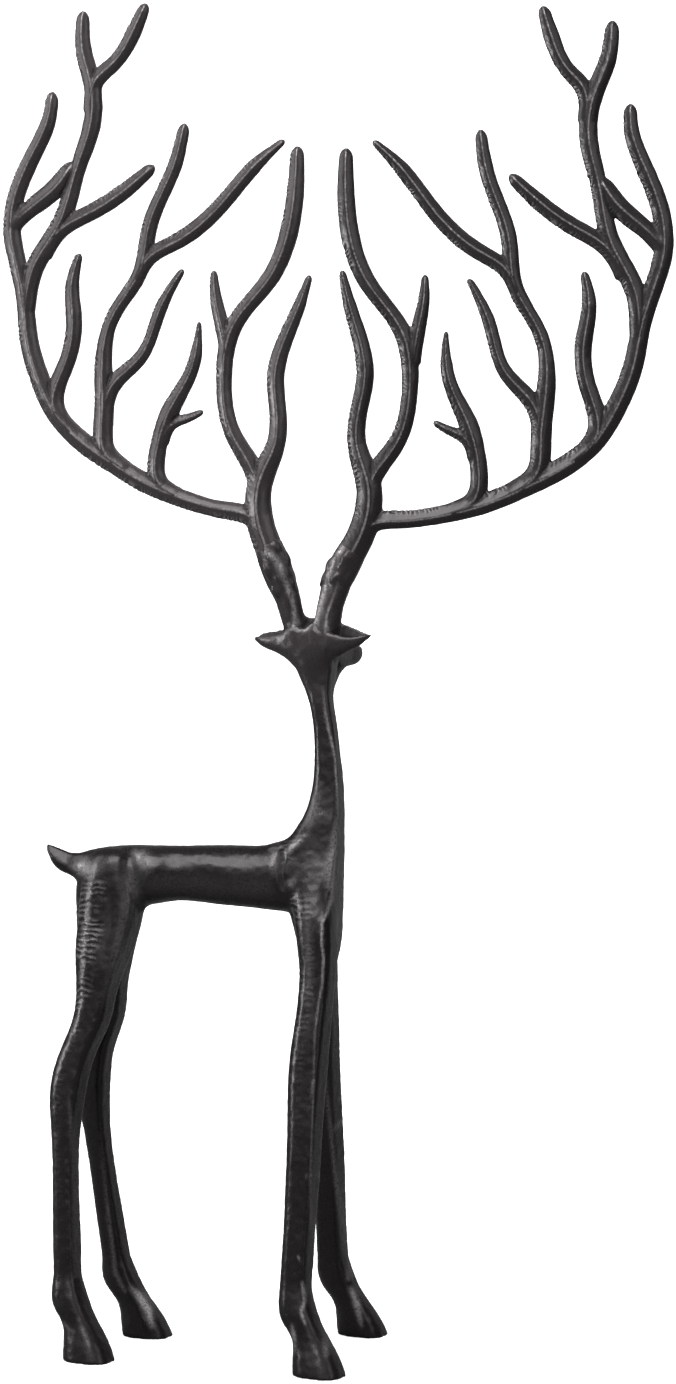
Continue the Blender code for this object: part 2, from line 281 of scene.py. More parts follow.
def grainGroup(g):
    # Fine sandy grain and broad tone changes of paint on a cast surface.
    tree = bpy.data.node_groups.new("castGrain", "ShaderNodeTree")
    for name, value in (("Grain Size", 0.9), ("Grain Depth", 0.5), ("Tone Size", 14.0)):
        socket = tree.interface.new_socket(name, in_out="INPUT", socket_type="NodeSocketFloat")
        socket.default_value = value
    for name in ("Height", "Speckle", "Tone"):
        tree.interface.new_socket(name, in_out="OUTPUT", socket_type="NodeSocketFloat")
    start = node(tree, "NodeGroupInput")
    where = node(tree, "ShaderNodeTexCoord").outputs["Object"]
    fineScale, wideScale = (mathNode(tree, "DIVIDE", 1 / mm, start.outputs[size])
                            for size in ("Grain Size", "Tone Size"))
    fine = noise(tree, where, fineScale, g["detail"], Roughness=g["roughness"])
    pitScale = mathNode(tree, "MULTIPLY", fineScale, g["pitScale"])
    pits = node(tree, "ShaderNodeTexVoronoi", {"Vector": where, "Scale": pitScale}).outputs["Distance"]
    height = addUp(tree, fine, mathNode(tree, "MULTIPLY", pits, g["pitDepth"]))
    height = mathNode(tree, "MULTIPLY", height, start.outputs["Grain Depth"])
    out = node(tree, "NodeGroupOutput")
    wide = noise(tree, where, wideScale, g["toneDetail"])
    for name, value in (("Height", height), ("Speckle", fine), ("Tone", wide)):
        tree.links.new(value, out.inputs[name])
    return tree


def mixedColour(tree, share, first, second):
    # Sockets 6 and 7 are the mix's two colours.
    sockets = {0: share}
    for key, colour in ((6, first), (7, second)):
        sockets[key] = (*colour, 1) if isinstance(colour, tuple) else colour
    return node(tree, "ShaderNodeMix", sockets, data_type="RGBA").outputs[2]


def blackPaint(name, grain, look):
    # Black paint, a little greyer high up on the figure as painted light, darker and rougher in its hollows
    # as painted shade, and rubbed through to bright metal along its ridges, as wear and as painted highlight.
    material = bpy.data.materials.new(name)
    material.use_nodes = True
    tree = material.node_tree
    shader = tree.nodes["Principled BSDF"]
    skin = node(tree, "ShaderNodeGroup", node_tree=grain)
    skin.inputs["Grain Size"].default_value = look["grainSize"]
    skin.inputs["Grain Depth"].default_value = look["grainDepth"]
    speckle = skin.outputs["Speckle"]
    hollow, worn = (node(tree, "ShaderNodeAttribute", attribute_name=key).outputs["Fac"]
                    for key in ("hollow", "worn"))
    place = node(tree, "ShaderNodeTexCoord").outputs["Object"]
    height = node(tree, "ShaderNodeSeparateXYZ", {0: place}).outputs["Z"]
    # painted light: the paint turns a lighter grey high up, where the figure is lit more brightly
    litGreyed = ranged(tree, height, look["litGreyFrom"], kind="SMOOTHSTEP")
    paint = mixedColour(tree, litGreyed, look["black"], look["litGrey"])
    paint = vectorNode(tree, "SCALE", paint, ranged(tree, skin.outputs["Tone"], (0.0, 1.0), *look["tones"]))
    # painted shade: the hollows are darkened, and below they are made rougher too
    shadeScale = mathNode(tree, "SUBTRACT", 1.0, mathNode(tree, "MULTIPLY", hollow, look["hollowShade"]))
    paint = vectorNode(tree, "SCALE", paint, shadeScale)
    # wear and painted highlight: bright bare metal where the worn-and-highlight attribute says
    patchy = ranged(tree, speckle, look["wornHighlightSpeckle"], look["wornHighlightLeast"])
    bareHighlight = mathNode(tree, "MULTIPLY", worn, patchy)
    rough = ranged(tree, speckle, look["roughSpeckle"], look["rough"] - look["roughSpread"],
                   look["rough"] + look["roughSpread"])
    rough = addUp(tree, rough, mathNode(tree, "MULTIPLY", hollow, look["hollowShadeRough"]))
    relief = node(tree, "ShaderNodeBump", {"Height": skin.outputs["Height"], "Strength": look["bump"],
                                           "Distance": look["bumpDistance"]})
    for key, value in (("Base Color", mixedColour(tree, bareHighlight, paint, look["bareHighlightMetal"])),
                       ("Metallic", mathNode(tree, "MULTIPLY", bareHighlight, look["wornHighlightMetal"])),
                       ("Roughness", rough),
                       ("Normal", relief.outputs["Normal"])):
        tree.links.new(value, shader.inputs[key])
    shader.inputs["IOR"].default_value = look["ior"]
    shader.inputs["Specular Tint"].default_value = (*look["sheenTint"], 1)
    return material


grain = grainGroup(grainMake)
paints = {
    "black": (0.0072, 0.006, 0.0063),
    # painted light: the lighter grey high up, and the heights where it comes in, stand in for brighter light
    # there
    "litGrey": (0.032, 0.0275, 0.029),
    "litGreyFrom": (0.25, 0.335),  # the heights between which black turns grey, in metres
    "tones": (0.7, 1.4),  # how much darker and lighter its clouds are
    # bright bare metal, worn through the paint and also painted on as highlight
    "bareHighlightMetal": (0.75, 0.715, 0.73),
    "wornHighlightMetal": 0.85,  # how metallic it looks
    "wornHighlightSpeckle": (0.3, 0.6),  # where in the grain's speckle the wear and painted highlight come through, and how much at least
    "wornHighlightLeast": 0.25,
    "roughSpeckle": (0.3, 0.7),  # where in the speckle the paint goes from its least rough to its roughest
    # painted shade: how much the hollows are darkened
    "hollowShade": 0.95,  # how much darker the hollows are, and how much rougher
    "hollowShadeRough": 0.35,
    "bumpDistance": 0.0003,
    "ior": 1.5,
    "sheenTint": (1.0, 0.955, 0.975),  # the colour of its gloss
}
bodyPaint = blackPaint("bodyPaint", grain, {**paints, "rough": 0.29, "roughSpread": 0.03, "grainSize": 1.1,
                                            "grainDepth": 0.5, "bump": 0.16})
antlerLook = {**paints, "rough": 0.23, "roughSpread": 0.06, "grainSize": 1.0, "grainDepth": 0.5, "bump": 0.3}
# painted light and shade: the more brightly lit rear antler gets a lighter grey, the front one a darker grey
antlerPaints = {-1: blackPaint("antlerPaintRearLit", grain, {**antlerLook, "litGrey": (0.048, 0.0415, 0.044)}),
                1: blackPaint("antlerPaintFrontShaded", grain, {**antlerLook, "litGrey": (0.027, 0.024, 0.0255)})}
print("paint mixed")


def addSockets(tree, sockets):
    # Gives a tree its inputs, as (name, kind, first value), and one geometry to put out.
    for name, kind, value in sockets:
        socket = tree.interface.new_socket(name, in_out="INPUT", socket_type="NodeSocket" + kind)
        if value is not None:
            socket.default_value = value
    tree.interface.new_socket("Geometry", in_out="OUTPUT", socket_type="NodeSocketGeometry")
    return node(tree, "NodeGroupInput"), node(tree, "NodeGroupOutput")


def named(tree, name):
    made = node(tree, "GeometryNodeInputNamedAttribute", {"Name": name}, data_type="FLOAT")
    return made.outputs["Attribute"]


def stored(tree, geometry, name, value):
    return node(tree, "GeometryNodeStoreNamedAttribute", {"Geometry": geometry, "Name": name, "Value": value},
                data_type="FLOAT", domain="POINT").outputs[0]


def coated(tree, start, end, geometry):
    # Ends a tree with its geometry made real and put in its material.
    real = node(tree, "GeometryNodeRealizeInstances", {0: geometry}).outputs[0]
    done = node(tree, "GeometryNodeSetMaterial", {"Geometry": real, "Material": start.outputs["Material"]})
    tree.links.new(done.outputs[0], end.inputs[0])
    return tree


def ridgedBarTree():
    # Turns centre lines, drawn flat on XY, into closed bars of one section, and keeps how far along its line
    # and how far to the side each point is.
    tree = bpy.data.node_groups.new("ridgedBars", "GeometryNodeTree")
    start, end = addSockets(tree, [("Geometry", "Geometry", None), ("Section", "Object", None),
                                   ("Material", "Material", None)])
    lines = node(tree, "GeometryNodeMeshToCurve", {"Mesh": start.outputs["Geometry"]}).outputs[0]
    upright = node(tree, "GeometryNodeSetCurveNormal", {"Curve": lines}, mode="Z_UP").outputs[0]
    along = node(tree, "GeometryNodeSplineParameter").outputs["Length"]
    lines = stored(tree, stored(tree, upright, "along", along), "rough", 1.0)
    section = node(tree, "GeometryNodeObjectInfo", {"Object": start.outputs["Section"]}).outputs["Geometry"]
    place = node(tree, "GeometryNodeInputPosition").outputs[0]
    section = stored(tree, section, "side", node(tree, "ShaderNodeSeparateXYZ", {0: place}).outputs["X"])
    bars = node(tree, "GeometryNodeCurveToMesh", {"Curve": lines, "Profile Curve": section,
                                                "Scale": named(tree, "half"), "Fill Caps": True})
    return coated(tree, start, end, bars.outputs[0])


# What the cast skin doesn't take as an input. Scales are per metre, and spans are of a noise or a wave.
skinMake = {
    "wanderScale": 130.0,  # how quickly the ripples bend out of line
    "unevenScale": 90.0,  # how quickly they grow and fade
    "unevenSpan": (0.42, 0.62),
    "unevenLeast": 0.1,
    "detail": 2.0,
    "grown": (0.003, 0.013),  # how far up a bar its ripples and its worn and painted highlights start, in metres
    "breakSpan": (-0.6, 0.8),
    "breakLeast": 0.3,
    "beadSpan": (0.3, 1.0),
    "dentSmoothness": 0.6,
    "dentMiddle": 0.45,
    "lumpMiddle": 0.5,
}


def castSkinTree(s):
    # Softens a fused form as casting does, adds ripples across its bars, dents and lumps, and marks where its
    # paint is worn bright, as wear and as painted highlight, and where it lies in a hollow, for painted
    # shade.
    tree = bpy.data.node_groups.new("castSkin", "GeometryNodeTree")
    start, end = addSockets(tree, [
        ("Geometry", "Geometry", None), ("Bars", "Object", None), ("Soften", "Int", 3),
        ("Ripple Pitch", "Float", 0.0018), ("Ripple Height", "Float", 0.0001), ("Ripple Side", "Float", 1.0),
        ("Ripple From", "Float", 0.25), ("Ripple To", "Float", 0.85), ("Ripple Wander", "Float", 34.0),
        ("Crest At", "Float", -0.15), ("Crest Width", "Float", 0.16), ("Crest Wear", "Float", 1.0),
        ("Edge Wear", "Float", 0.7),
        ("Dent Size", "Float", 0.004), ("Dent Depth", "Float", 0.0002),
        ("Lump Size", "Float", 0.012), ("Lump Height", "Float", 0.0002), ("Seed", "Float", 1.0),
        ("Hollow Passes", "Int", 80), ("Hollow Least", "Float", 0.00001), ("Hollow Most", "Float", 0.00012),
        ("Material", "Material", None)])
    given = start.outputs
    place = node(tree, "GeometryNodeInputPosition").outputs[0]
    bars = node(tree, "GeometryNodeObjectInfo", {"Object": given["Bars"]}).outputs["Geometry"]

    def calc(operation, *values):
        return mathNode(tree, operation, *values)

    def blurred(passes):
        return node(tree, "GeometryNodeBlurAttribute", {0: place, "Iterations": given[passes]},
                    data_type="FLOAT_VECTOR").outputs[0]

    def sampled(name):
        # what the nearest place on the bars says
        return node(tree, "GeometryNodeSampleNearestSurface",
                    {"Mesh": bars, "Value": named(tree, name), "Sample Position": place},
                    data_type="FLOAT").outputs[0]

    seeded = vectorNode(tree, "ADD", place, given["Seed"])
    along = sampled("along")
    wander = calc("MULTIPLY", noise(tree, seeded, s["wanderScale"], s["detail"]), given["Ripple Wander"])
    turns = calc("MULTIPLY", calc("DIVIDE", along, given["Ripple Pitch"]), math.tau)
    wave = calc("SINE", calc("ADD", turns, wander))

    # the ripples, on one side of each bar
    across = calc("MULTIPLY", sampled("side"), given["Ripple Side"])
    grown = ranged(tree, along, s["grown"], kind="SMOOTHSTEP")
    uneven = noise(tree, seeded, s["unevenScale"], s["detail"])
    uneven = ranged(tree, uneven, s["unevenSpan"], s["unevenLeast"])
    edge = ranged(tree, across, (given["Ripple From"], given["Ripple To"]), kind="SMOOTHSTEP")
    edge = calc("MULTIPLY", calc("MULTIPLY", edge, uneven), sampled("rough"))
    edge = calc("MULTIPLY", edge, grown)
    ripple = calc("MULTIPLY", calc("MULTIPLY", wave, edge), given["Ripple Height"])

    # the crest, broken by the ripples, the ripples' own tops and the marked strokes: worn bright metal that
    # is also painted highlight
    fromCrest = calc("ABSOLUTE", calc("SUBTRACT", across, given["Crest At"]))
    crest = ranged(tree, fromCrest, (0.0, given["Crest Width"]), given["Crest Wear"], 0.0, "SMOOTHSTEP")
    broken = ranged(tree, calc("MULTIPLY", wave, uneven), s["breakSpan"], s["breakLeast"])
    broken = calc("MULTIPLY", broken, grown)
    bead = ranged(tree, wave, s["beadSpan"], 0.0, given["Edge Wear"])
    worn = addUp(tree, calc("MULTIPLY", crest, broken), calc("MULTIPLY", bead, edge), named(tree, "polish"))

    # dents and lumps all over
    dentScale = calc("DIVIDE", 1.0, given["Dent Size"])
    dent = node(tree, "ShaderNodeTexVoronoi",
                {"Vector": seeded, "Scale": dentScale, "Smoothness": s["dentSmoothness"]},
                feature="SMOOTH_F1").outputs["Distance"]
    dent = calc("MULTIPLY", calc("SUBTRACT", dent, s["dentMiddle"]), given["Dent Depth"])
    lump = noise(tree, seeded, calc("DIVIDE", 1.0, given["Lump Size"]), s["detail"])
    lump = calc("MULTIPLY", calc("SUBTRACT", lump, s["lumpMiddle"]), given["Lump Height"])
    normal = node(tree, "GeometryNodeInputNormal").outputs[0]
    move = vectorNode(tree, "SCALE", normal, addUp(tree, ripple, dent, lump))

    # a hollow is where heavy smoothing would fill the form up
    filling = vectorNode(tree, "SUBTRACT", blurred("Hollow Passes"), place)
    filling = vectorNode(tree, "DOT_PRODUCT", filling, normal)
    hollow = ranged(tree, filling, (given["Hollow Least"], given["Hollow Most"]), kind="SMOOTHSTEP")

    calmed = node(tree, "GeometryNodeSetPosition",
                  {"Geometry": given["Geometry"], "Position": blurred("Soften")}).outputs[0]
    marked = stored(tree, stored(tree, calmed, "worn", worn), "hollow", hollow)
    moved = node(tree, "GeometryNodeSetPosition", {"Geometry": marked, "Offset": move}).outputs[0]
    smooth = node(tree, "GeometryNodeSetShadeSmooth", {"Geometry": moved}).outputs[0]
    return coated(tree, start, end, smooth)


barTree = ridgedBarTree()
skinTree = castSkinTree(skinMake)


casting = {
    "mostTriangles": 196000,  # in one piece
    "meltShare": 0.6,  # how far one pass of melting takes a point towards its neighbours
    "meltCore": 1.5,  # over 1, so that the middle of a melted place is all melted as much
}


def meshPoints(mesh):
    points = np.empty(len(mesh.vertices) * 3)
    mesh.vertices.foreach_get("co", points)
    return points.reshape(-1, 3)


def movePoints(mesh, points):
    mesh.vertices.foreach_set("co", points.ravel())
    mesh.update()


def melt(mesh, places):
    # Melts the joints of the form together, most in the middle of each given place.
    points = meshPoints(mesh)
    ends = np.empty(len(mesh.edges) * 2, np.int64)
    mesh.edges.foreach_get("vertices", ends)
    ends = ends.reshape(-1, 2)
    for place, reach, passes in places:
        away = np.linalg.norm(points / mm - place, axis=1) / reach
        weight = np.clip(casting["meltCore"] * (1 - away), 0, 1)
        local = ends[(away[ends] < 1).any(axis=1)]
        used, local = np.unique(local, return_inverse=True)
        local = local.reshape(-1, 2)
        size = len(used)
        part = points[used]
        held = weight[used][:, None] * casting["meltShare"]
        share = np.bincount(local.ravel(), minlength=size)[:, None]
        for _ in range(passes):
            around = np.zeros_like(part)
            for here, there in (local.T, local.T[::-1]):
                for k in range(3):
                    around[:, k] += np.bincount(here, part[there, k], size)
            part = part + held * (around / share - part)
        points[used] = part
    movePoints(mesh, points)


def castPiece(name, bars, voxel, material, work, place=None, **skin):
    # Fuses overlapping bars into one casting, works its surface, gives it its skin and sets it in its place.
    raw = bpy.data.objects.new(name + "Raw", bars.data.copy())
    bpy.context.scene.collection.objects.link(raw)
    fuse = raw.modifiers.new("fuse", "REMESH")
    fuse.mode = "VOXEL"
    fuse.voxel_size = voxel * mm
    fused = plainMesh(raw, name + "Fused")
    work(fused.data)
    geometryModifier(fused, skinTree, Bars=bars, Material=material, **skin)
    full = plainMesh(fused, name + "Full")
    full.data.calc_loop_triangles()
    thin = full.modifiers.new("thin", "DECIMATE")
    thin.ratio = min(1.0, casting["mostTriangles"] / len(full.data.loop_triangles))
    piece = plainMesh(full, name)
    remove(raw, fused, full, bars)
    if place is not None:
        piece.data.transform(place)
        if place.determinant() < 0:
            piece.data.flip_normals()
    for layer in list(piece.data.attributes):
        if layer.name in ("along", "side", "half", "rough", "polish"):
            piece.data.attributes.remove(layer)
    print(name, "has", len(piece.data.polygons), "faces")
    return piece


antler = {
    "lean": 5.8,  # degrees that both lean towards the nape
    "sweep": 2.6,  # degrees that the outer side is swept towards the face
    "roll": 4.4,  # degrees that the pair is tipped ahead
    "seat": {-1: (0.0, -0.4), 1: (0.5, 0.4)},  # (ahead, up), as each was fixed on by hand
    # the near half of a tine's section: a blunt side edge, a low ridge off the middle, the other edge
    "section": [(-1, 0.3), (-0.5, 0.64), (0.06, 0.9), (0.24, 0.9), (0.66, 0.62), (1, 0.3)],
    "step": 0.8,  # between the points of a centre line
    "voxel": 0.42,  # the fineness to which the tines are fused
    "forkMelt": (2.2, 14),  # how far a fork's joint is melted, over the tine's half width, and how often
    "forkSteps": [4, 9],  # the steps up a tine round which it is melted
    "footSteps": [0, 6],  # the steps between which the stem's foot points the way of its pedicle
    "tip": (1.6, 0.06),  # how long the rounded tip is, over its half width, and how blunt its end stays
    "seed": 3.0,
    # the crests and ripple tops get bright bare metal, as wear and as painted highlight
    "skin": {"Ripple Pitch": 0.0023, "Ripple Height": 0.0002, "Crest Width": 0.12, "Crest Wear": 0.9,
             "Edge Wear": 0.45},
    # how far some tips of the antler over the back are bent (outward, up); the other's go the other way
    "tipBends": {"stem": (-1.6, -1), "innerLong": (2.8, 0.5), "innerSpur": (2.4, -0.5),
                 "crownTop": (-1.8, -0.4), "crownStem": (-2, 0.5)},
    # each tine's centre line as (outward, up) from the head's axis at ear height, and its half widths
    "tines": {
        "stem": ([(13.4, 27), (17.8, 36.5), (22.2, 46), (25, 56), (24.3, 70), (18.3, 86), (18.1, 101),
                  (19.9, 117), (16.7, 132), (11, 147), (6.3, 162.3)],
                 [6.6, 6.4, 6.2, 5.6, 4.2, 3.9, 4.0, 3.6, 3.0, 1.5]),
        "innerLong": ([(24.4, 58), (26, 70), (37.5, 89), (42.5, 113), (38.5, 137), (21.5, 159),
                       (12.5, 182), (10, 217)],
                      [5.0, 4.3, 3.7, 3.6, 4.1, 3.7, 4.0, 4.2, 3.9, 2.9]),
        "innerSpur": ([(42.4, 124), (44, 135), (47.3, 151), (48, 162.5)], [3.6, 3.5, 2.8, 1.6]),
        "beam": ([(19, 41), (27, 52), (42, 55), (59, 58.3), (76, 63.5), (94, 72), (112, 82.5),
                  (124, 93), (133.3, 109), (139.6, 127), (142.3, 145), (146.8, 163), (149.8, 177),
                  (147, 196), (138.2, 215), (132.6, 229), (131.7, 239.5)],
                 [5.6, 4.3, 3.9, 4.2, 4.5, 4.6, 4.7, 4.6, 4.6, 4.4, 4.2, 4.0, 4.2, 4.0, 3.9, 3.6, 2.8]),
        "lowTine": ([(64, 60), (73, 66), (74.3, 80), (67.7, 100.5), (59, 117.5), (56.4, 139)],
                    [4.2, 4.1, 3.9, 4.3, 3.4, 2.8, 1.0]),
        "lowSpur": ([(72.5, 84), (68, 92), (60, 95.5), (52.7, 99)], [3.6, 2.9, 2.2, 1.4]),
        "midTine": ([(90, 70), (100, 79), (101.3, 95), (102.3, 116), (98.3, 139.5), (85.6, 160.5),
                     (82, 180), (71.1, 207), (66.7, 226.5)],
                    [4.8, 4.6, 4.7, 4.2, 3.3, 3.2, 3.7, 3.6, 3.4, 3.3, 2.6]),
        "midInner": ([(101.4, 96), (97.5, 108), (84, 122), (75.7, 142.6), (65, 162)],
                     [4.2, 3.7, 3.0, 2.9, 1.5]),
        "midUpper": ([(88, 155), (81, 167), (70, 173.4), (48.4, 190.3), (32, 209), (18.9, 220)],
                     [3.5, 3.6, 3.8, 3.6, 3.4, 1.5]),
        "highTine": ([(117, 86), (125.8, 98), (120.5, 118), (117.6, 137), (118.9, 153), (115.7, 167.5)],
                     [4.3, 4.6, 3.9, 3.8, 3.8, 3.3, 1.8]),
        "crownStem": ([(141.4, 141), (138.2, 160), (126.5, 180), (119.3, 204), (113, 225.5),
                       (114, 243), (118.8, 258), (119.6, 275)],
                      [4.3, 4.3, 4.4, 4.0, 3.7, 4.1, 4.1, 3.8, 2.9]),
        "crownInner": ([(133.5, 166), (126, 177), (110.7, 186), (95, 195.8), (80.7, 207.5)],
                       [4.0, 3.8, 3.8, 3.7, 2.6]),
        "crownTop": ([(112.6, 231), (110.5, 245), (102.5, 253), (95, 265), (89, 279.5)],
                     [3.6, 3.8, 3.4, 3.6, 2.6]),
        "bridge": ([(149.5, 179), (142.5, 185.5), (134.5, 191.5), (127, 198), (120, 208)],
                   [4.1, 4.0, 4.4, 4.6, 3.6]),
    },
}


def antlerPlacing(side):
    # From an antler drawn flat, outward along X and up along Y, to the figure.
    a = antler
    upright = Matrix.Rotation(math.radians(90), 4, "X")
    lean = Matrix.Rotation(math.radians(a["lean"]), 4, "X")
    sweep = Matrix.Rotation(math.radians(a["sweep"]), 4, "Z")
    mirror = Matrix.Diagonal((side, 1, 1, 1))
    roll = Matrix.Rotation(math.radians(a["roll"]), 4, "Y")
    ahead, up = a["seat"][side]
    x, y = figure["neckAxis"]
    lift = Matrix.Translation(Vector((x + ahead, y, figure["earHeight"] + up)) * mm)
    return lift @ roll @ mirror @ sweep @ lean @ upright


def tineLine(name, side):
    # A tine's centre line and half widths, its tip rounded off.
    a = antler
    points, widths = a["tines"][name]
    line = smoothRows([(x, y, 0) for x, y in points], a["step"])[:, :2]
    t = np.linspace(0, 1, len(line))
    line = line + t[:, None] * np.array(a["tipBends"].get(name, (0, 0))) * -side
    half = np.interp(t, np.linspace(0, 1, len(widths)), widths)
    run = np.concatenate([[0], np.cumsum(np.linalg.norm(np.diff(line, axis=0), axis=1))])
    length, least = a["tip"]
    left = np.clip((run[-1] - run) / (widths[-1] * length), 0, 1)
    return line, half * np.sqrt(np.clip(1 - (1 - left) ** 2, least, 1))


def tineSection(side):
    # The whole outline of a tine's section, whose far half is like its near one.
    near = [(x * side, y) for x, y in antler["section"]][::side]
    return near + [(x, -y) for x, y in near[::-1]]


def sectionCurve(side):
    # The same outline as an object, for the bars to be drawn with.
    curve = bpy.data.curves.new("tineSection", "CURVE")
    curve.dimensions = "3D"
    corners = tineSection(side)
    spline = curve.splines.new("POLY")
    spline.points.add(len(corners) - 1)
    for point, (x, y) in zip(spline.points, corners):
        point.co = (x, y, 0, 1)
    spline.use_cyclic_u = True
    made = bpy.data.objects.new("tineSection", curve)
    bpy.context.scene.collection.objects.link(made)
    return made


def makeAntler(name, solid, side):
    # One antler, cast flat and then set in its place.
    points, edges, halves, forks = [], [], [], []
    reach, passes = antler["forkMelt"]
    for tine in antler["tines"]:
        line, half = tineLine(tine, side)
        forks += [((x, y, 0), reach * half[0], passes) for x, y in line[antler["forkSteps"]]]
        first = len(points)
        points += [(x * mm, y * mm, 0) for x, y in line]
        edges += [(first + i, first + i + 1) for i in range(len(line) - 1)]
        halves += list(half * mm)
    lines = meshObject(name + "Lines", points, edges=edges, half=halves)
    section = sectionCurve(side)
    geometryModifier(lines, barTree, Section=section, Material=antlerPaints[side])
    bars = plainMesh(lines, name + "Bars")
    remove(lines, section)
    skin = {**antler["skin"], "Ripple Side": -float(side), "Seed": antler["seed"] + side}
    piece = castPiece(name, bars, antler["voxel"], antlerPaints[side], lambda mesh: melt(mesh, forks),
                      antlerPlacing(side), **skin)
    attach(piece, "root")
    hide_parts(solid)


makeAntler("antlerRear", "antler_rear", -1)
makeAntler("antlerFront", "antler_front", 1)
print("antlers made")

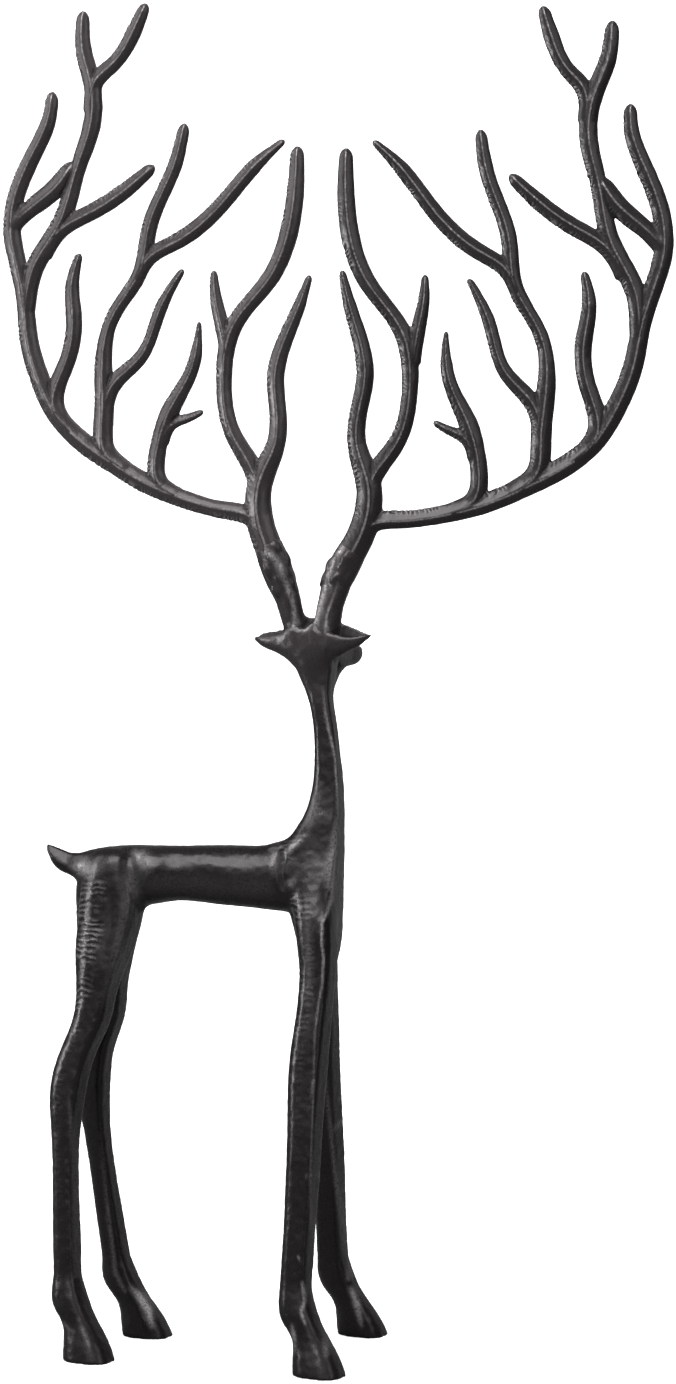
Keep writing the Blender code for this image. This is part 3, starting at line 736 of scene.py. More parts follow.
body = {
    "step": 2.0,  # between a part's sections
    "voxel": 0.6,  # the fineness to which the parts are fused
    # near legs: level sections as (height, x, y, half x, half y), from the head's axis
    "nearHind": [(226.6, -89, -3.8, 7, 7), (224, -89.4, -4.6, 9.8, 10), (218, -89.6, -5.4, 11.4, 11.6),
                 (211, -90.2, -6.2, 13.2, 12), (198, -90.2, -7.4, 14.4, 11.8), (187, -91.6, -9, 13.6, 11),
                 (174, -93.5, -11.8, 11.2, 9.6), (162, -94.6, -14.5, 8.8, 7.7), (149, -96.4, -16.5, 8.2, 7),
                 (133, -102.7, -18.5, 7.9, 6.4), (118, -106, -20.5, 7.8, 6.2), (100, -106.2, -23, 6.1, 5.6),
                 (67, -104.3, -27.5, 5.4, 5.3), (36, -102, -31.5, 6.0, 5.8)],
    "nearFront": [(246, 8, 1, 3, 3), (237, 6, 0.4, 6, 6.4), (224, 4.4, -1.2, 9.8, 8.9),
                  (210, 5.2, -4.2, 10, 9.2), (198, 6.4, -7.6, 9.5, 9), (178, 8.6, -11, 8, 7.4),
                  (161, 8.4, -13.5, 7.4, 6.8), (146, 7.3, -16, 7.7, 7), (128, 6.1, -18.5, 8, 7),
                  (108, 6, -22, 7.3, 6.6), (82, 5.9, -26, 6.9, 6.2), (57, 5.3, -29.5, 6.5, 5.9),
                  (36, 4.8, -32.5, 6.7, 6.1)],
    # a hoof: (height, how far ahead of the shank, half length, half width)
    "hoof": [(24, 2.6, 8.2, 7), (15, 8.4, 8.1, 6.8), (7, 11.4, 10.2, 8), (0, 13, 11.5, 8.8)],
    # stations and the first one used, how far the top and the foot stand ahead, how much wider the foot
    # stands, side, turn, how rough it is
    "legs": {"nearHindLeg": ("nearHind", 0, (0.0, 0.0), 0.0, -1, 10.0, 1.0),
             "farHindLeg": ("nearHind", 1, (-8.0, 8.0), -17.0, 1, 6.0, 0.6),
             "nearFrontLeg": ("nearFront", 0, (0.0, 0.0), 0.0, -1, 8.0, 0.5),
             "farFrontLeg": ("nearFront", 3, (-6.8, -3.8), 12.0, 1, 10.0, 0.5)},
    # how quickly down the leg it takes its turn, and its thigh's section gives way to the shank's
    "turnRate": 2.0,
    "thighRate": 2.2,
    "hoofBlend": 16.0,  # the height over which the shank's section gives way to the hoof's
    "splayRow": -5,  # from this row to the last, the shank gives the slope on which the hoof goes on
    "cornerPoints": 9,
    "sidePoint": 6,  # the point of every section that shows which way its side is
    # how far the corners are rounded off, of a half width, on thigh, shank and hoof: near rear, near front,
    # far front, far rear
    "legCorners": ((1.0, 0.6, 0.6, 1.0), (0.85, 0.34, 0.4, 0.85), (0.85, 0.7, 0.7, 0.85)),
    "neckCorners": (0.85, 0.28, 0.5, 0.8),
    "trunkCorners": (0.8, 0.9, 0.9, 0.88),
    # the tail's section, its near and far faces leaning together towards the top: (over, up)
    "tailSection": [(-0.12, 1), (-0.4, 0.8), (-0.78, 0.2), (-1, -0.25), (-0.9, -0.6), (-0.5, -0.94), (0, -1),
                    (0.5, -0.94), (0.9, -0.6), (1, -0.25), (0.78, 0.2), (0.4, 0.8), (0.12, 1)],
    "headCorners": (0.7, 0.7, 0.7, 0.7),
    "throatCorners": (0.6, 0.6, 0.6, 0.6),
    # upright sections of the trunk, as (x, y, z, half y, half z)
    "trunk": [(-109, -3, 217.4, 3.4, 5.6), (-103, -3, 216.8, 6, 8.2), (-97, -3, 215.8, 9, 10.4),
              (-91, -3, 214.8, 11.4, 12.2), (-76, -2, 213.8, 12.6, 13.8), (-60, -1, 215, 11.8, 12.5),
              (-40, 0, 214.6, 12, 13.4), (-23, 0.5, 214, 12.2, 14), (-8, 1, 213.5, 12.6, 15.2),
              (6, 1.5, 213, 12.0, 15.5)],
    # level sections of the neck, as (height, x, y, half x, half y)
    "neck": [(174, 10, 1, 3.4, 6), (180, 8.8, 1, 5.4, 9), (187, 7.6, 1, 7.6, 11.4), (196, 6.4, 1, 9.2, 12.3),
             (208, 4.8, 1, 11.2, 12), (218, 2.5, 1, 13.5, 11.4), (224, -0.6, 1, 17, 10.9),
             (227.6, -1.5, 1, 18, 10.5), (230.6, 3.4, 1, 13.2, 10.1), (235, 6, 1, 10.8, 9.6),
             (239.7, 7.6, 1, 9.2, 9.1), (244, 8.8, 1, 8.2, 8.4), (249, 9.6, 0.9, 7.3, 7.6),
             (254, 10.2, 0.8, 6.7, 7), (267, 10.2, 0.5, 5.6, 6), (282, 9.1, 0.4, 5.0, 5.6),
             (293, 7.2, 0.6, 5.2, 6), (300, 5.6, 1.4, 6.6, 6.6), (306, 4.6, 2.4, 8.4, 7.6),
             (315, 4.2, 4.5, 9, 9)],
    # the tail, like the trunk
    "tail": [(-92, -3, 215, 5.4, 9), (-98, -3, 216, 5, 8.4), (-104, -3, 217, 4.5, 7.2),
             (-110, -3, 218.2, 4, 5.8), (-116, -3, 220.3, 3.3, 5.2), (-120, -3, 223.2, 2.4, 3.9),
             (-122.8, -3, 226.4, 0.9, 1.2)],
    # the skull with its muzzle: (ahead, up, half width, half height)
    "skull": [(-2, -3, 7, 6), (4, -1.2, 9.2, 10), (11, -3.4, 8.2, 9.4), (19, -6, 6.4, 8.2),
              (28, -7.2, 5.2, 5.8), (36, -7.2, 4.6, 4.4), (40, -6.6, 3.2, 2.8)],
    # the nape's shield from ear tip to ear tip: (right, ahead, half thickness, near rim, far rim, lower edge)
    "shield": [(-29.8, -1.4, 0.7, 0.4, 0.6, -1.6), (-27.4, -1.6, 1.6, 0.7, 1.8, -3.4),
               (-23.8, -1.9, 2.4, 0.6, 2.7, -5.2), (-19, -2.1, 3.0, 0.8, 3.2, -7.0),
               (-15, -2.2, 3.4, 1.8, 4.0, -9.0), (-12.5, -2.2, 3.9, 3.0, 5.0, -10.6),
               (-10.2, -2.1, 4.3, 4.8, 7.0, -12.8), (-7.5, -1.8, 4.8, 5.4, 10.6, -16.0),
               (-4.6, -1.4, 5.2, 4.4, 9.6, -20.5), (-2.0, -1.2, 5.5, 3.8, 8.4, -24.0),
               (2.4, -1.2, 5.6, 6.4, 8.4, -24.0), (5.0, -1.4, 5.5, 4.6, 9.3, -19.5),
               (7.5, -1.6, 5.0, 3.0, 8.8, -15.5), (11.7, -2.0, 4.2, 2.0, 7.2, -10.8),
               (16.0, -2.2, 3.5, 0.8, 5.6, -8.4), (20.0, -2.2, 2.9, -0.2, 4.4, -6.6),
               (25.5, -2.0, 2.0, 0.4, 2.4, -4.0), (29.0, -1.6, 1.1, 0.6, 1.4, -1.4),
               (31.0, -1.4, 0.5, 0.7, 0.9, 0.0)],
    # the jaw and throat: (height from the ears, right, ahead, half length, half width)
    "throat": [(-5.0, 0, 19, 17, 3.8), (-10.4, 0, 16, 17.4, 4.4), (-13.0, 0.1, 12.5, 13.6, 4.9),
               (-15.8, 0.4, 9.2, 10.6, 5), (-18.5, 1.0, 6.8, 8.6, 5), (-21.2, 1.8, 5, 7, 4.6),
               (-27.9, 3.0, 3, 5.2, 3.4), (-33.0, 3.6, 1.6, 3.6, 2.2)],
    # each pedicle's root, from the middle of the head: right, ahead, up; its half widths up to the joint; and
    # how far it bows
    "stubRoots": {-1: (-8.9, 1.0, -3.0), 1: (7.2, -1.4, -5.0)},
    "stubWidths": {-1: [5.9, 5.3, 5.7, 6.7], 1: [6.7, 6.2, 6.0, 6.7]},
    "stubBow": 1.4,
    # the weld's collar: (up the pedicle, width over the joint's)
    "weldCollar": [(-7, 0.9), (-2, 1.02), (4, 1.04), (9, 1.02), (15, 0.95)],
    # a bead of weld: its rings, how many degrees from its middle the last ones are, points to a ring
    "bead": (9, 80, 12),
    # the beads over each antler's joint: (up the pedicle, turn round it in degrees, out, radius, length)
    "welds": {-1: [(-4, 20, 4.6, 2.6, 4.5), (1, 35, 4.8, 2.9, 5.4), (6, 10, 5.6, 2.8, 5.0),
                   (12, 30, 4.8, 2.6, 4.5), (-1, 80, 4.6, 2.2, 3.0), (8, 80, 4.8, 2.0, 3.6),
                   (4, 120, 4.8, 2.6, 5.0), (-6, 140, 4.4, 2.0, 3.5), (0, 190, 4.8, 2.4, 4.0),
                   (7, 230, 4.8, 2.4, 4.4), (-3, 250, 4.6, 2.2, 3.0), (3, 300, 4.9, 2.6, 4.6),
                   (-9, 60, 4.2, 1.5, 2.2), (10, 330, 4.4, 2.0, 4.0)],
              1: [(10, 92, 4.6, 2.5, 4.6), (-2, 150, 4.8, 2.4, 3.8), (4, 170, 5.4, 2.6, 4.4),
                  (9, 150, 4.8, 2.2, 4.0), (0, 95, 4.8, 2.2, 3.2), (7, 95, 4.6, 1.8, 3.0),
                  (3, 40, 4.8, 2.2, 4.4), (-4, 20, 4.4, 2.0, 3.0), (8, 0, 4.6, 2.0, 4.0),
                  (1, 320, 4.8, 2.4, 4.0), (-5, 280, 4.4, 2.0, 3.2), (5, 250, 4.8, 2.4, 4.4),
                  (-2, 215, 4.8, 2.2, 3.6), (13, 165, 4.2, 1.6, 3.6)]},
    # how strongly the ripples show, by height
    "legRough": [(0, 0.0), (60, 0.05), (120, 0.25), (158, 0.6), (175, 1.0), (200, 1.0), (214, 0.3)],
    "neckRough": [(170, 0.8), (210, 0.6), (232, 0.25), (255, 0.05), (300, 0.0)],
    # where the form is melted together: place, reach, how often it is smoothed
    "melts": [((-113, -9, 212), 20, 70), ((-113, 5, 212), 20, 40), ((-103, -10, 224), 14, 30),
              ((-9, -11, 206), 24, 90), ((-9, 9, 206), 22, 60), ((-30, -4, 226), 18, 30),
              ((-13, -12, 225), 14, 50), ((-10, -3, 306), 15, 50), ((-88, -12, 200), 14, 20),
              ((-87, -2, 201), 15, 60), ((-22, -10, 200), 12, 20), ((-12.5, 0, 331), 8, 34),
              ((-115.8, -32.7, 34), 15, 70), ((-9, -33.7, 34), 15, 40), ((-110, 16, 33), 12, 20),
              ((-13.3, 41.3, 33), 12, 20)],
    # how squarely a place has to face sideways to be worked, and how quickly the work grows from there
    "facing": (0.3, 2.5),
    # painted highlights on the near side, as worn bright metal, along strokes of (x, height, half width, how
    # far)
    "polish": [
        [(-4.2, 300.8, 0.5, 0), (-2.7, 287.8, 0.5, 0.35), (-1.3, 280.7, 0.45, 0.6), (0.3, 274, 0.45, 0.6),
         (1.5, 268.2, 0.45, 0.5), (2.6, 255.8, 0.45, 0.45), (3.4, 242.5, 0.6, 0.5)],
        [(3.2, 241.2, 1.0, 0.25), (2.6, 233.7, 1.4, 0.35), (1.6, 227, 1.6, 0.4), (0.6, 220.4, 2.0, 0.4),
         (0.5, 215.2, 2.3, 0.4), (1.0, 211, 1.7, 0.45), (1.8, 208.1, 0.8, 0.45), (0.5, 199.7, 0.45, 0.5),
         (-1.1, 194.4, 0.45, 0.6), (-0.8, 185.7, 0.4, 0.6), (0.1, 179.6, 0.4, 0.6), (-0.2, 167.3, 0.4, 0.45),
         (-1.2, 161.2, 0.4, 0.3), (-2.4, 148.2, 0.4, 0.15), (-2.2, 126.5, 0.4, 0.15), (-1.8, 61.7, 0.4, 0.15),
         (-1.6, 45, 0.4, 0)],
        [(-92.4, 222, 2.4, 0), (-91.0, 214, 3.0, 0.1), (-90.2, 206.6, 3.0, 0.12), (-91.9, 197.7, 2.6, 0.1),
         (-94.2, 188.7, 2.2, 0.1), (-95.8, 179.8, 2.0, 0.12), (-98.9, 167.8, 2.0, 0.08),
         (-103.2, 154, 2.0, 0)],
        [(-91, 224.5, 1.6, 0.1), (-88, 222.5, 2.4, 0.25), (-85, 219.5, 2.8, 0.25), (-82, 215, 2.4, 0)],
        [(-123, 217.8, 1.6, 0.15), (-118.6, 216.8, 2.6, 0.4), (-112.5, 217, 3.4, 0.45),
         (-106.8, 218.6, 2.6, 0.1)],
        [(-78, 211, 6.5, 0.03), (-30, 210, 6.5, 0.03)],
        [(-9.3, 204.8, 2.0, 0), (-8.5, 198.3, 2.0, 0.08), (-7.7, 189.6, 1.8, 0.1), (-6.9, 181, 1.7, 0.12),
         (-6.7, 168, 1.7, 0.09), (-7.5, 157.1, 1.6, 0)],
        [(-5.6, 260.2, 1.4, 0), (-6.3, 253.5, 1.6, 0.1), (-7.4, 246.8, 2.0, 0.16), (-9.2, 240.1, 2.0, 0.16),
         (-11.0, 234.8, 1.8, 0.05)],
        [(-116.5, 118.1, 0.8, 0), (-115.2, 105.8, 0.8, 0.1), (-112.8, 69.8, 0.8, 0.12),
         (-110.3, 36.2, 0.8, 0.06)],
        [(-96.6, 20.6, 1.2, 0.1), (-92.0, 13.9, 1.2, 0.22), (-89.4, 3.9, 1.0, 0.1)],
        [(-113.7, 16.1, 0.9, 0.15), (-109.2, 13.2, 0.9, 0.1)],
        [(-7.6, 21, 0.9, 0.3), (-6.9, 18, 1.1, 0.5), (-6.0, 13.1, 0.9, 0.2), (-6.5, 8, 0.9, 0)],
        [(-4.0, 39.4, 0.5, 0.5), (-2.6, 32.0, 0.7, 0.2), (-3.5, 27.6, 0.6, 0.6), (-1.4, 22.7, 0.5, 0.3)],
        [(-6.1, 50.9, 0.4, 0.4), (-5.6, 49.6, 0.4, 0.4)],
        [(2.7, 129, 0.45, 0.7), (2, 127.6, 0.5, 0.7)],
        [(-2.2, 126.5, 0.45, 0.3), (-2.6, 125.2, 0.45, 0.15), (-3.1, 119.4, 0.45, 0.1)],
        [(-0.5, 84.2, 0.45, 0.35), (-0.2, 85.9, 0.45, 0.15), (-4.1, 85.1, 0.45, 0.12)],
        [(3.1, 25.3, 0.9, 0.1), (6.7, 17.4, 1.0, 0.2), (8.7, 10.0, 1.0, 0.1)],
        [(-20.6, 224.6, 1.2, 0.1), (-17.4, 227.8, 1.2, 0.4), (-13.9, 231.3, 1.1, 0.3),
         (-11.4, 233.9, 0.8, 0)],
        [(-17.4, 211.8, 1.6, 0.3), (-15.4, 213.6, 1.2, 0.2)],
        [(-25.5, 226, 1.6, 0.1), (-25, 221, 2.0, 0.25), (-24.5, 214, 1.8, 0)],
        [(-30.3, 361.7, 1.2, 0.3), (-26.8, 358.6, 1.2, 0.4), (-23.5, 353.6, 1.5, 0.3),
         (-20.7, 346.4, 1.1, 0.3), (-19.3, 341.9, 1.1, 0.5), (-18.1, 335.7, 0.6, 0.5),
         (-17.6, 328.2, 1.4, 0.4)],
        [(9, 367.9, 1.0, 0.4), (4.8, 360, 1.2, 0.5), (1.1, 355.1, 1.0, 0.5), (-1.6, 347.1, 1.0, 0.5),
         (-4.4, 338.2, 1.0, 0.5), (-7.2, 328.4, 1.0, 0.4)],
        [(3.9, 345.7, 0.6, 0.1), (1.1, 338.2, 0.5, 0.4), (-1.6, 331.5, 0.5, 0.4), (-1.6, 325.7, 1.0, 0.5)],
        [(-28.7, 321.2, 0.7, 0.2), (-23.1, 321.8, 0.7, 0.3), (-17.9, 326.7, 0.5, 0.3),
         (-15.1, 324.9, 0.5, 0.5), (-11.9, 324.7, 0.5, 0.5), (-9.1, 327.6, 0.5, 0.3)],
    ],
    # the same painted highlights, as worn bright metal, for the near sides of the far legs
    "polishHighlightFar": [
        [(-115.3, 100, 0.8, 0), (-112, 62.3, 0.8, 0.12), (-108.2, 29.9, 0.9, 0.14),
         (-103.4, 21.6, 1.0, 0.12)],
        [(-101, 23.1, 1.0, 0.1), (-96.6, 18.7, 1.3, 0.5), (-92.7, 13.4, 1.3, 0.5), (-89.8, 6.2, 1.0, 0.2)],
        [(-9.6, 150, 0.8, 0), (-8.6, 102.2, 0.9, 0.16), (-7.5, 73.3, 0.9, 0.2), (-6.0, 40.8, 0.9, 0.22),
         (-4.3, 26.9, 1.0, 0.14)],
        [(-3.2, 22.2, 1.1, 0.25), (-0.3, 15, 1.3, 0.5), (2.1, 6.4, 1.0, 0.2)],
        [(-3.8, 113.3, 0.45, 0.5), (-5.3, 111.6, 0.5, 0.65)],
        [(-5.1, 101.7, 0.5, 0.35), (-5.9, 99.6, 0.6, 0.45), (-6.9, 97.3, 0.6, 0.1)],
    ],
    # ridges and grooves worked on both flanks, along strokes of (x, height, half width, rise)
    "tooling": [
        [(-93, 227, 1.2, 0), (-88, 220.5, 1.8, -0.7), (-86.1, 213.8, 2.0, -0.8), (-85.6, 207.5, 2.0, -0.6),
         (-86.4, 200, 1.8, 0)],
        [(-84, 224, 3.5, 0.3), (-81, 218, 4.5, 0.8), (-78, 211, 3.5, 0.2)],
        [(-76, 224, 2.0, 0), (-71, 221, 3.0, -0.35), (-66, 218, 3.0, 0)],
        [(-64, 226, 3.0, 0), (-57, 221.5, 4.5, 0.4), (-50, 217, 5.0, 0.35), (-40, 214, 5.0, 0)],
        [(-52, 226, 3.0, 0), (-44, 222, 4.0, -0.3), (-37, 220, 4.0, -0.15), (-32, 222, 3.0, 0)],
        [(-92.4, 224, 2.4, 0), (-91.0, 216, 3.0, 0.6), (-90.2, 206.6, 3.2, 0.8), (-91.9, 197.7, 3.0, 0.9),
         (-94.2, 188.7, 2.6, 0.9), (-95.8, 179.8, 2.4, 0.9), (-98.9, 167.8, 2.2, 0.7), (-103.2, 154, 2.2, 0)],
        [(-86, 206, 1.8, 0), (-88.8, 197.7, 1.8, -0.8), (-90.8, 188.7, 1.8, -0.9), (-93, 180, 1.8, -0.9),
         (-95.6, 168, 1.8, 0)],
        [(-103, 216, 5.0, 0), (-101, 206, 5.0, -0.9), (-101.5, 190, 4.4, -0.9), (-104, 172, 3.6, 0)],
        [(-26.6, 225, 2.4, 0.1), (-25.8, 219, 3.0, 0.6), (-24.9, 212, 2.6, 0.6), (-23, 205, 1.8, 0.1)],
        [(-21.5, 229, 1.3, 0), (-21.7, 225.5, 1.5, -1.0), (-22.7, 216.1, 1.7, -1.3),
         (-21.7, 211.2, 1.7, -1.2), (-20.1, 206.7, 1.5, 0)],
        [(-19.5, 224.6, 2.2, 0.2), (-16.6, 227.8, 2.4, 0.25), (-13.4, 231.3, 2.4, 0.2),
         (-10.6, 234.9, 2.2, 0)],
        [(3.5, 242, 1.2, 0), (3.0, 229.3, 2.4, 0.7), (1.2, 219.1, 3.6, 1.2), (0.9, 213.8, 3.6, 1.2),
         (1.7, 208.1, 1.6, 0.9), (0.3, 199.7, 1.2, 0.8), (-1.1, 194.4, 1.2, 0.7), (-0.8, 185.7, 1.2, 0.7),
         (0.0, 179.6, 1.2, 0.6), (-1.2, 161.2, 1.2, 0.5), (-2.4, 148.2, 1.2, 0.3), (-2.2, 126.5, 1.2, 0)],
    ],
    # the ripple tops get bright bare metal, as wear and as painted highlight; the crest gets none
    "skin": {"Ripple Side": 1.0, "Ripple From": 0.6, "Ripple To": 0.86, "Ripple Pitch": 0.0026,
             "Ripple Height": 0.00013, "Ripple Wander": 13.0, "Crest Wear": 0.0, "Edge Wear": 0.4,
             "Dent Size": 0.0032, "Dent Depth": 0.00026, "Hollow Least": 0.00004, "Hollow Most": 0.0004,
             "Seed": 7.0},
}


def cornered(cuts):
    # A square section with its four corners rounded off by the cuts, from near rear round to far rear.
    outline = []
    for quarter, ((across, over), cut) in enumerate(zip(((-1, -1), (1, -1), (1, 1), (-1, 1)), cuts)):
        for turn in np.radians(180 + 90 * quarter + np.linspace(0, 90, body["cornerPoints"])):
            outline.append((across * (1 - cut) + cut * math.cos(turn),
                            over * (1 - cut) + cut * math.sin(turn)))
    return outline


def rings(rows, frames, outlines):
    # rows hold centre, half across, half over; frames give the across and over directions.
    made = []
    for (centre, halfAcross, halfOver), (across, over), outline in zip(rows, frames, outlines):
        made.append([centre + across * (a * halfAcross) + over * (b * halfOver) for a, b in outline])
    return made


def evenRings(rows, frame, outline):
    # The same directions and the same section all along.
    return rings(rows, [frame] * len(rows), [outline] * len(rows))


def onHeadAxis(x, y, z):
    return Vector((x + figure["neckAxis"][0], y + figure["neckAxis"][1], z))


def neckRings():
    rows = [(onHeadAxis(x, y, z), hx, hy) for z, x, y, hx, hy in smoothRows(body["neck"], body["step"])]
    return evenRings(rows, (Vector((1, 0, 0)), Vector((0, 1, 0))), cornered(body["neckCorners"]))


def trunkRings(key, outline):
    # Upright sections along the body.
    rows = [(onHeadAxis(x, y, z), hy, hz) for x, y, z, hy, hz in smoothRows(body[key], body["step"])]
    return evenRings(rows, (Vector((0, 1, 0)), Vector((0, 0, 1))), outline)


def legRings(key, start, ahead, wider, side, turn):
    # The shank's stations, with the hoof's below them, which go on down the shank's own slope.
    shank = smoothRows(body[key][start:], body["step"])
    top, ankle = shank[0][0], shank[-1]
    above = shank[body["splayRow"]]
    splay = (ankle[2] - above[2]) / (ankle[0] - above[0])
    stations = [(z, x, y, 0, hx, hy) for z, x, y, hx, hy in shank]
    foot = [(ankle[0], 0.0, ankle[3], ankle[4])] + list(body["hoof"])
    for z, reach, hx, hy in smoothRows(foot, body["step"])[1:]:
        stations.append((max(z, 0.0), ankle[1], ankle[2] + (z - ankle[0]) * splay, reach, hx, hy))
    rows, frames, outlines = [], [], []
    thighCuts, shankCuts, hoofCuts = np.array(body["legCorners"])
    for z, x, y, reach, hx, hy in stations:
        down = (top - z) / top
        turned = Matrix.Rotation(-math.radians(turn) * min(1, body["turnRate"] * down), 3, "Z")
        across, over = turned @ Vector((1, 0, 0)), turned @ Vector((0, 1, 0))
        lead = ahead[0] * (1 - down) + ahead[1] * down
        rows.append((onHeadAxis(x + lead, -side * y + wider * down, z) + across * reach, hx, hy))
        frames.append((across, over))
        mix = min(1, body["thighRate"] * down)
        cuts = thighCuts * (1 - mix) + shankCuts * mix
        mix = float(np.clip((ankle[0] - z) / body["hoofBlend"], 0, 1))
        outlines.append(cornered(cuts * (1 - mix) + hoofCuts * mix))
    return rings(rows, frames, outlines)


def pedicle(side):
    # Where an antler's foot stands: its centre, and the directions across, over and up it.
    line = tineLine("stem", side)[0]
    placing = antlerPlacing(side)
    ends = [placing @ Vector((x * mm, y * mm, 0)) / mm for x, y in line[antler["footSteps"]]]
    rise = (ends[1] - ends[0]).normalized()
    over = (placing.to_3x3() @ Vector((0, 0, 1))).normalized()
    across = rise.cross(over).normalized()
    return ends[0], across, over, rise


def headFrame():
    # The middle of the head and its directions right, ahead and up.
    facing = Matrix.Rotation(math.radians(-figure["headTurn"]), 3, "Z")
    middle = onHeadAxis(figure["headShift"], 0, figure["earHeight"])
    return middle, facing @ Vector((1, 0, 0)), facing @ Vector((0, 1, 0)), Vector((0, 0, 1))


def stubRings(side):
    # Up to the antler's foot, with the same section there.
    foot, across, over, _ = pedicle(side)
    middle, right, ahead, up = headFrame()
    s, a, z = body["stubRoots"][side]
    root = middle + right * s + ahead * a + up * z
    widths = body["stubWidths"][side]
    made = []
    for i, w in enumerate(widths):
        t = i / (len(widths) - 1)
        bow = Vector((-side * body["stubBow"] * math.sin(math.pi * t), 0, 0))
        centre = root.lerp(foot, t) + bow
        made.append([centre + across * (a * w) + over * (b * w) for a, b in tineSection(1)])
    return made


def weldRings(side):
    # A thin uneven collar of weld metal over the joint, and the beads that stand out of it.
    foot, across, over, rise = pedicle(side)
    width = body["stubWidths"][side][-1]
    collar = [[foot + rise * up + across * (a * width * w) + over * (b * width * w)
               for a, b in tineSection(1)] for up, w in body["weldCollar"]]
    count, end, points = body["bead"]
    made = [collar]
    for up, turn, out, radius, length in body["welds"][side]:
        angle = math.radians(turn)
        outward = across * math.cos(angle) + over * math.sin(angle)
        sideways = rise.cross(outward)
        centre = foot + rise * up + outward * out
        spokes = [outward * math.cos(a) + sideways * math.sin(a)
                  for a in np.radians(np.linspace(0, 360, points, endpoint=False))]
        made.append([[centre + rise * (length * math.sin(t)) + spoke * (radius * math.cos(t))
                      for spoke in spokes] for t in np.radians(np.linspace(-end, end, count))])
    return made


def shieldOutline(t, near, far, low):
    # A near rim, the near face down to the lower edge, the far face and far rim, a hollow between the rims.
    tall = near - low
    return [(-0.7 * t, near), (-0.97 * t, near - 0.1 * tall), (-t, near - 0.35 * tall),
            (-0.88 * t, low + 0.38 * tall), (-0.5 * t, low + 0.14 * tall), (0.1 * t, low),
            (0.6 * t, low + 0.1 * tall), (0.95 * t, low + 0.4 * tall), (t, far - 0.2 * tall), (0.88 * t, far),
            (0.6 * t, far - 0.2), (0.48 * t, near - 0.3 * tall), (-0.2 * t, near - 0.35 * tall),
            (-0.42 * t, near - 0.1 * tall)]


def headParts():
    # The skull with its muzzle, the throat, the nape's shield, both pedicles and the weld on them.
    middle, right, ahead, up = headFrame()
    skull = [(middle + ahead * s + up * z, hx, hz)
             for s, z, hx, hz in smoothRows(body["skull"], body["step"])]
    throat = [(middle + right * r + ahead * s + up * z, hx, hs)
              for z, r, s, hs, hx in smoothRows(body["throat"], body["step"])]
    shield = [[middle + right * s + ahead * (a + b) + up * z for b, z in shieldOutline(t, near, far, low)]
              for s, a, t, near, far, low in smoothRows(body["shield"], body["step"])]
    parts = [evenRings(skull, (right, up), cornered(body["headCorners"])),
             evenRings(throat, (right, ahead), cornered(body["throatCorners"])), shield]
    for side in (-1, 1):
        parts += [stubRings(side), *weldRings(side)]
    return parts


def stroke(flat, rows, furthest=9.0):
    # How strongly each point lies on a stroke of rows (x, height, half width, strength). furthest is in half
    # widths, and far past where the stroke has faded out.
    rows = np.array(rows)
    nearest, strength = np.full(len(flat), furthest), np.zeros(len(flat))
    for start, end in zip(rows[:-1], rows[1:]):
        run = end[:2] - start[:2]
        t = np.clip(((flat - start[:2]) @ run) / (run @ run), 0, 1)
        away = np.linalg.norm(flat - start[:2] - t[:, None] * run, axis=1)
        away = away / (start[2] + (end[2] - start[2]) * t)
        closer = away < nearest
        nearest[closer] = away[closer]
        strength[closer] = (start[3] + (end[3] - start[3]) * t)[closer]
    return strength * np.exp(-nearest**2)


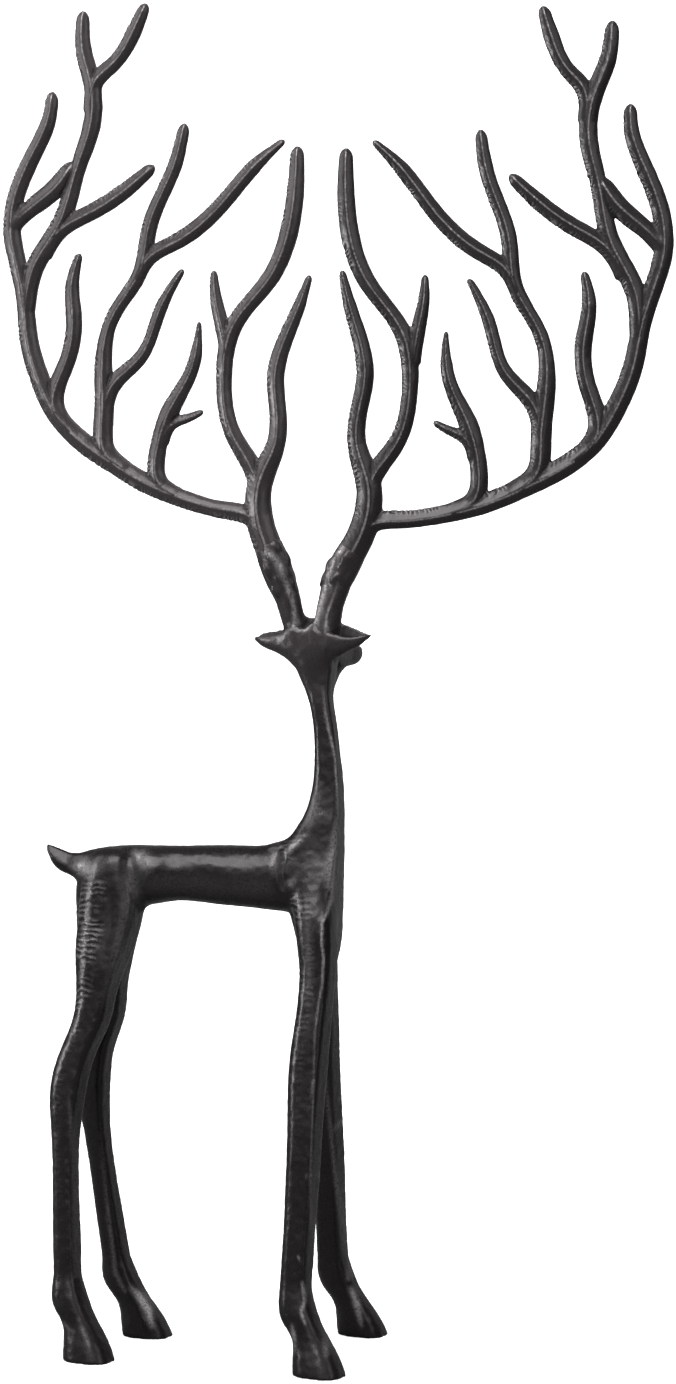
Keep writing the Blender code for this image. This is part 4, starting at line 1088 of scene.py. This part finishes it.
def tool(mesh):
    # Melts the joints, marks the painted highlights as worn bright metal on the sides facing the camera, then
    # works the ridges and grooves into both flanks, along the surface's own normals.
    melt(mesh, body["melts"])
    points = meshPoints(mesh)
    normals = np.empty(points.size)
    mesh.vertex_normals.foreach_get("vector", normals)
    normals = normals.reshape(-1, 3)
    flat = points[:, [0, 2]] / mm
    middle = figure["neckAxis"][1] * mm
    least, slope = body["facing"]
    outwards = np.sign(points[:, 1] - middle) * normals[:, 1]
    facing = np.clip((outwards - least) * slope, 0, 1)
    seen = np.clip(-normals[:, 1] * slope, 0, 1)
    worn = np.zeros(len(points))
    # painted highlight, only where the surface faces the camera
    for key, there in (("polish", points[:, 1] < middle + mm), ("polishHighlightFar", points[:, 1] > middle)):
        worn += sum(stroke(flat, rows) for rows in body[key]) * seen * there
    for rows in body["tooling"]:
        points += normals * (stroke(flat, rows) * mm * facing)[:, None]
    layer = mesh.attributes.new("polish", "FLOAT", "POINT")
    layer.data.foreach_set("value", np.clip(worn, 0, 1).astype(np.float32))
    movePoints(mesh, points)


def ringFaces(count, sides):
    # The walls and the two ends of a bar of count rings, by the numbers of its points.
    faces = []
    for i in range(count - 1):
        for k in range(sides):
            a, b = i * sides + k, i * sides + (k + 1) % sides
            faces.append((a, b, b + sides, a + sides))
    last = (count - 1) * sides
    return faces + [tuple(range(sides))[::-1], tuple(range(last, last + sides))]


def isInsideOut(points, faces):
    bulk = bmesh.new()
    corners = [bulk.verts.new(p) for p in points]
    for face in faces:
        bulk.faces.new([corners[c] for c in face])
    inward = bulk.calc_volume(signed=True) < 0
    bulk.free()
    return inward


def makeBody():
    # Each part goes with how rough it is, by height.
    calm = [(0, 0.0), (figure["earHeight"], 0.0)]
    parts = [(trunkRings("trunk", cornered(body["trunkCorners"])), calm),
             (trunkRings("tail", body["tailSection"]), calm),
             (neckRings(), body["neckRough"])]
    for *spec, weight in body["legs"].values():
        parts.append((legRings(*spec), [(z, rough * weight) for z, rough in body["legRough"]]))
    parts += [(part, calm) for part in headParts()]
    points, faces, along, side, rough = [], [], [], [], []
    for part, roughness in parts:
        first, sides = len(points), len(part[0])
        centres = [sum(loop, Vector()) / sides for loop in part]
        heights, weights = zip(*roughness)
        run = 0.0
        for i, loop in enumerate(part):
            run += (centres[i] - centres[i - 1]).length if i else 0.0
            across = loop[body["sidePoint"]] - centres[i]
            points += [p * mm for p in loop]
            along += [run * mm] * sides
            side += [(p - centres[i]).dot(across) / max(across.length_squared, 1e-9) for p in loop]
            rough += [np.interp(p.z, heights, weights) for p in loop]
        walls = ringFaces(len(part), sides)
        turn = -1 if isInsideOut(points[first:], walls) else 1
        faces += [tuple(first + c for c in wall[::turn]) for wall in walls]
    bars = meshObject("bodyBars", points, faces=faces, along=along, side=side, rough=rough)
    piece = castPiece("bodyCasting", bars, body["voxel"], bodyPaint, tool, **body["skin"])
    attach(piece, "root")
    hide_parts("body")


makeBody()
print("body made")
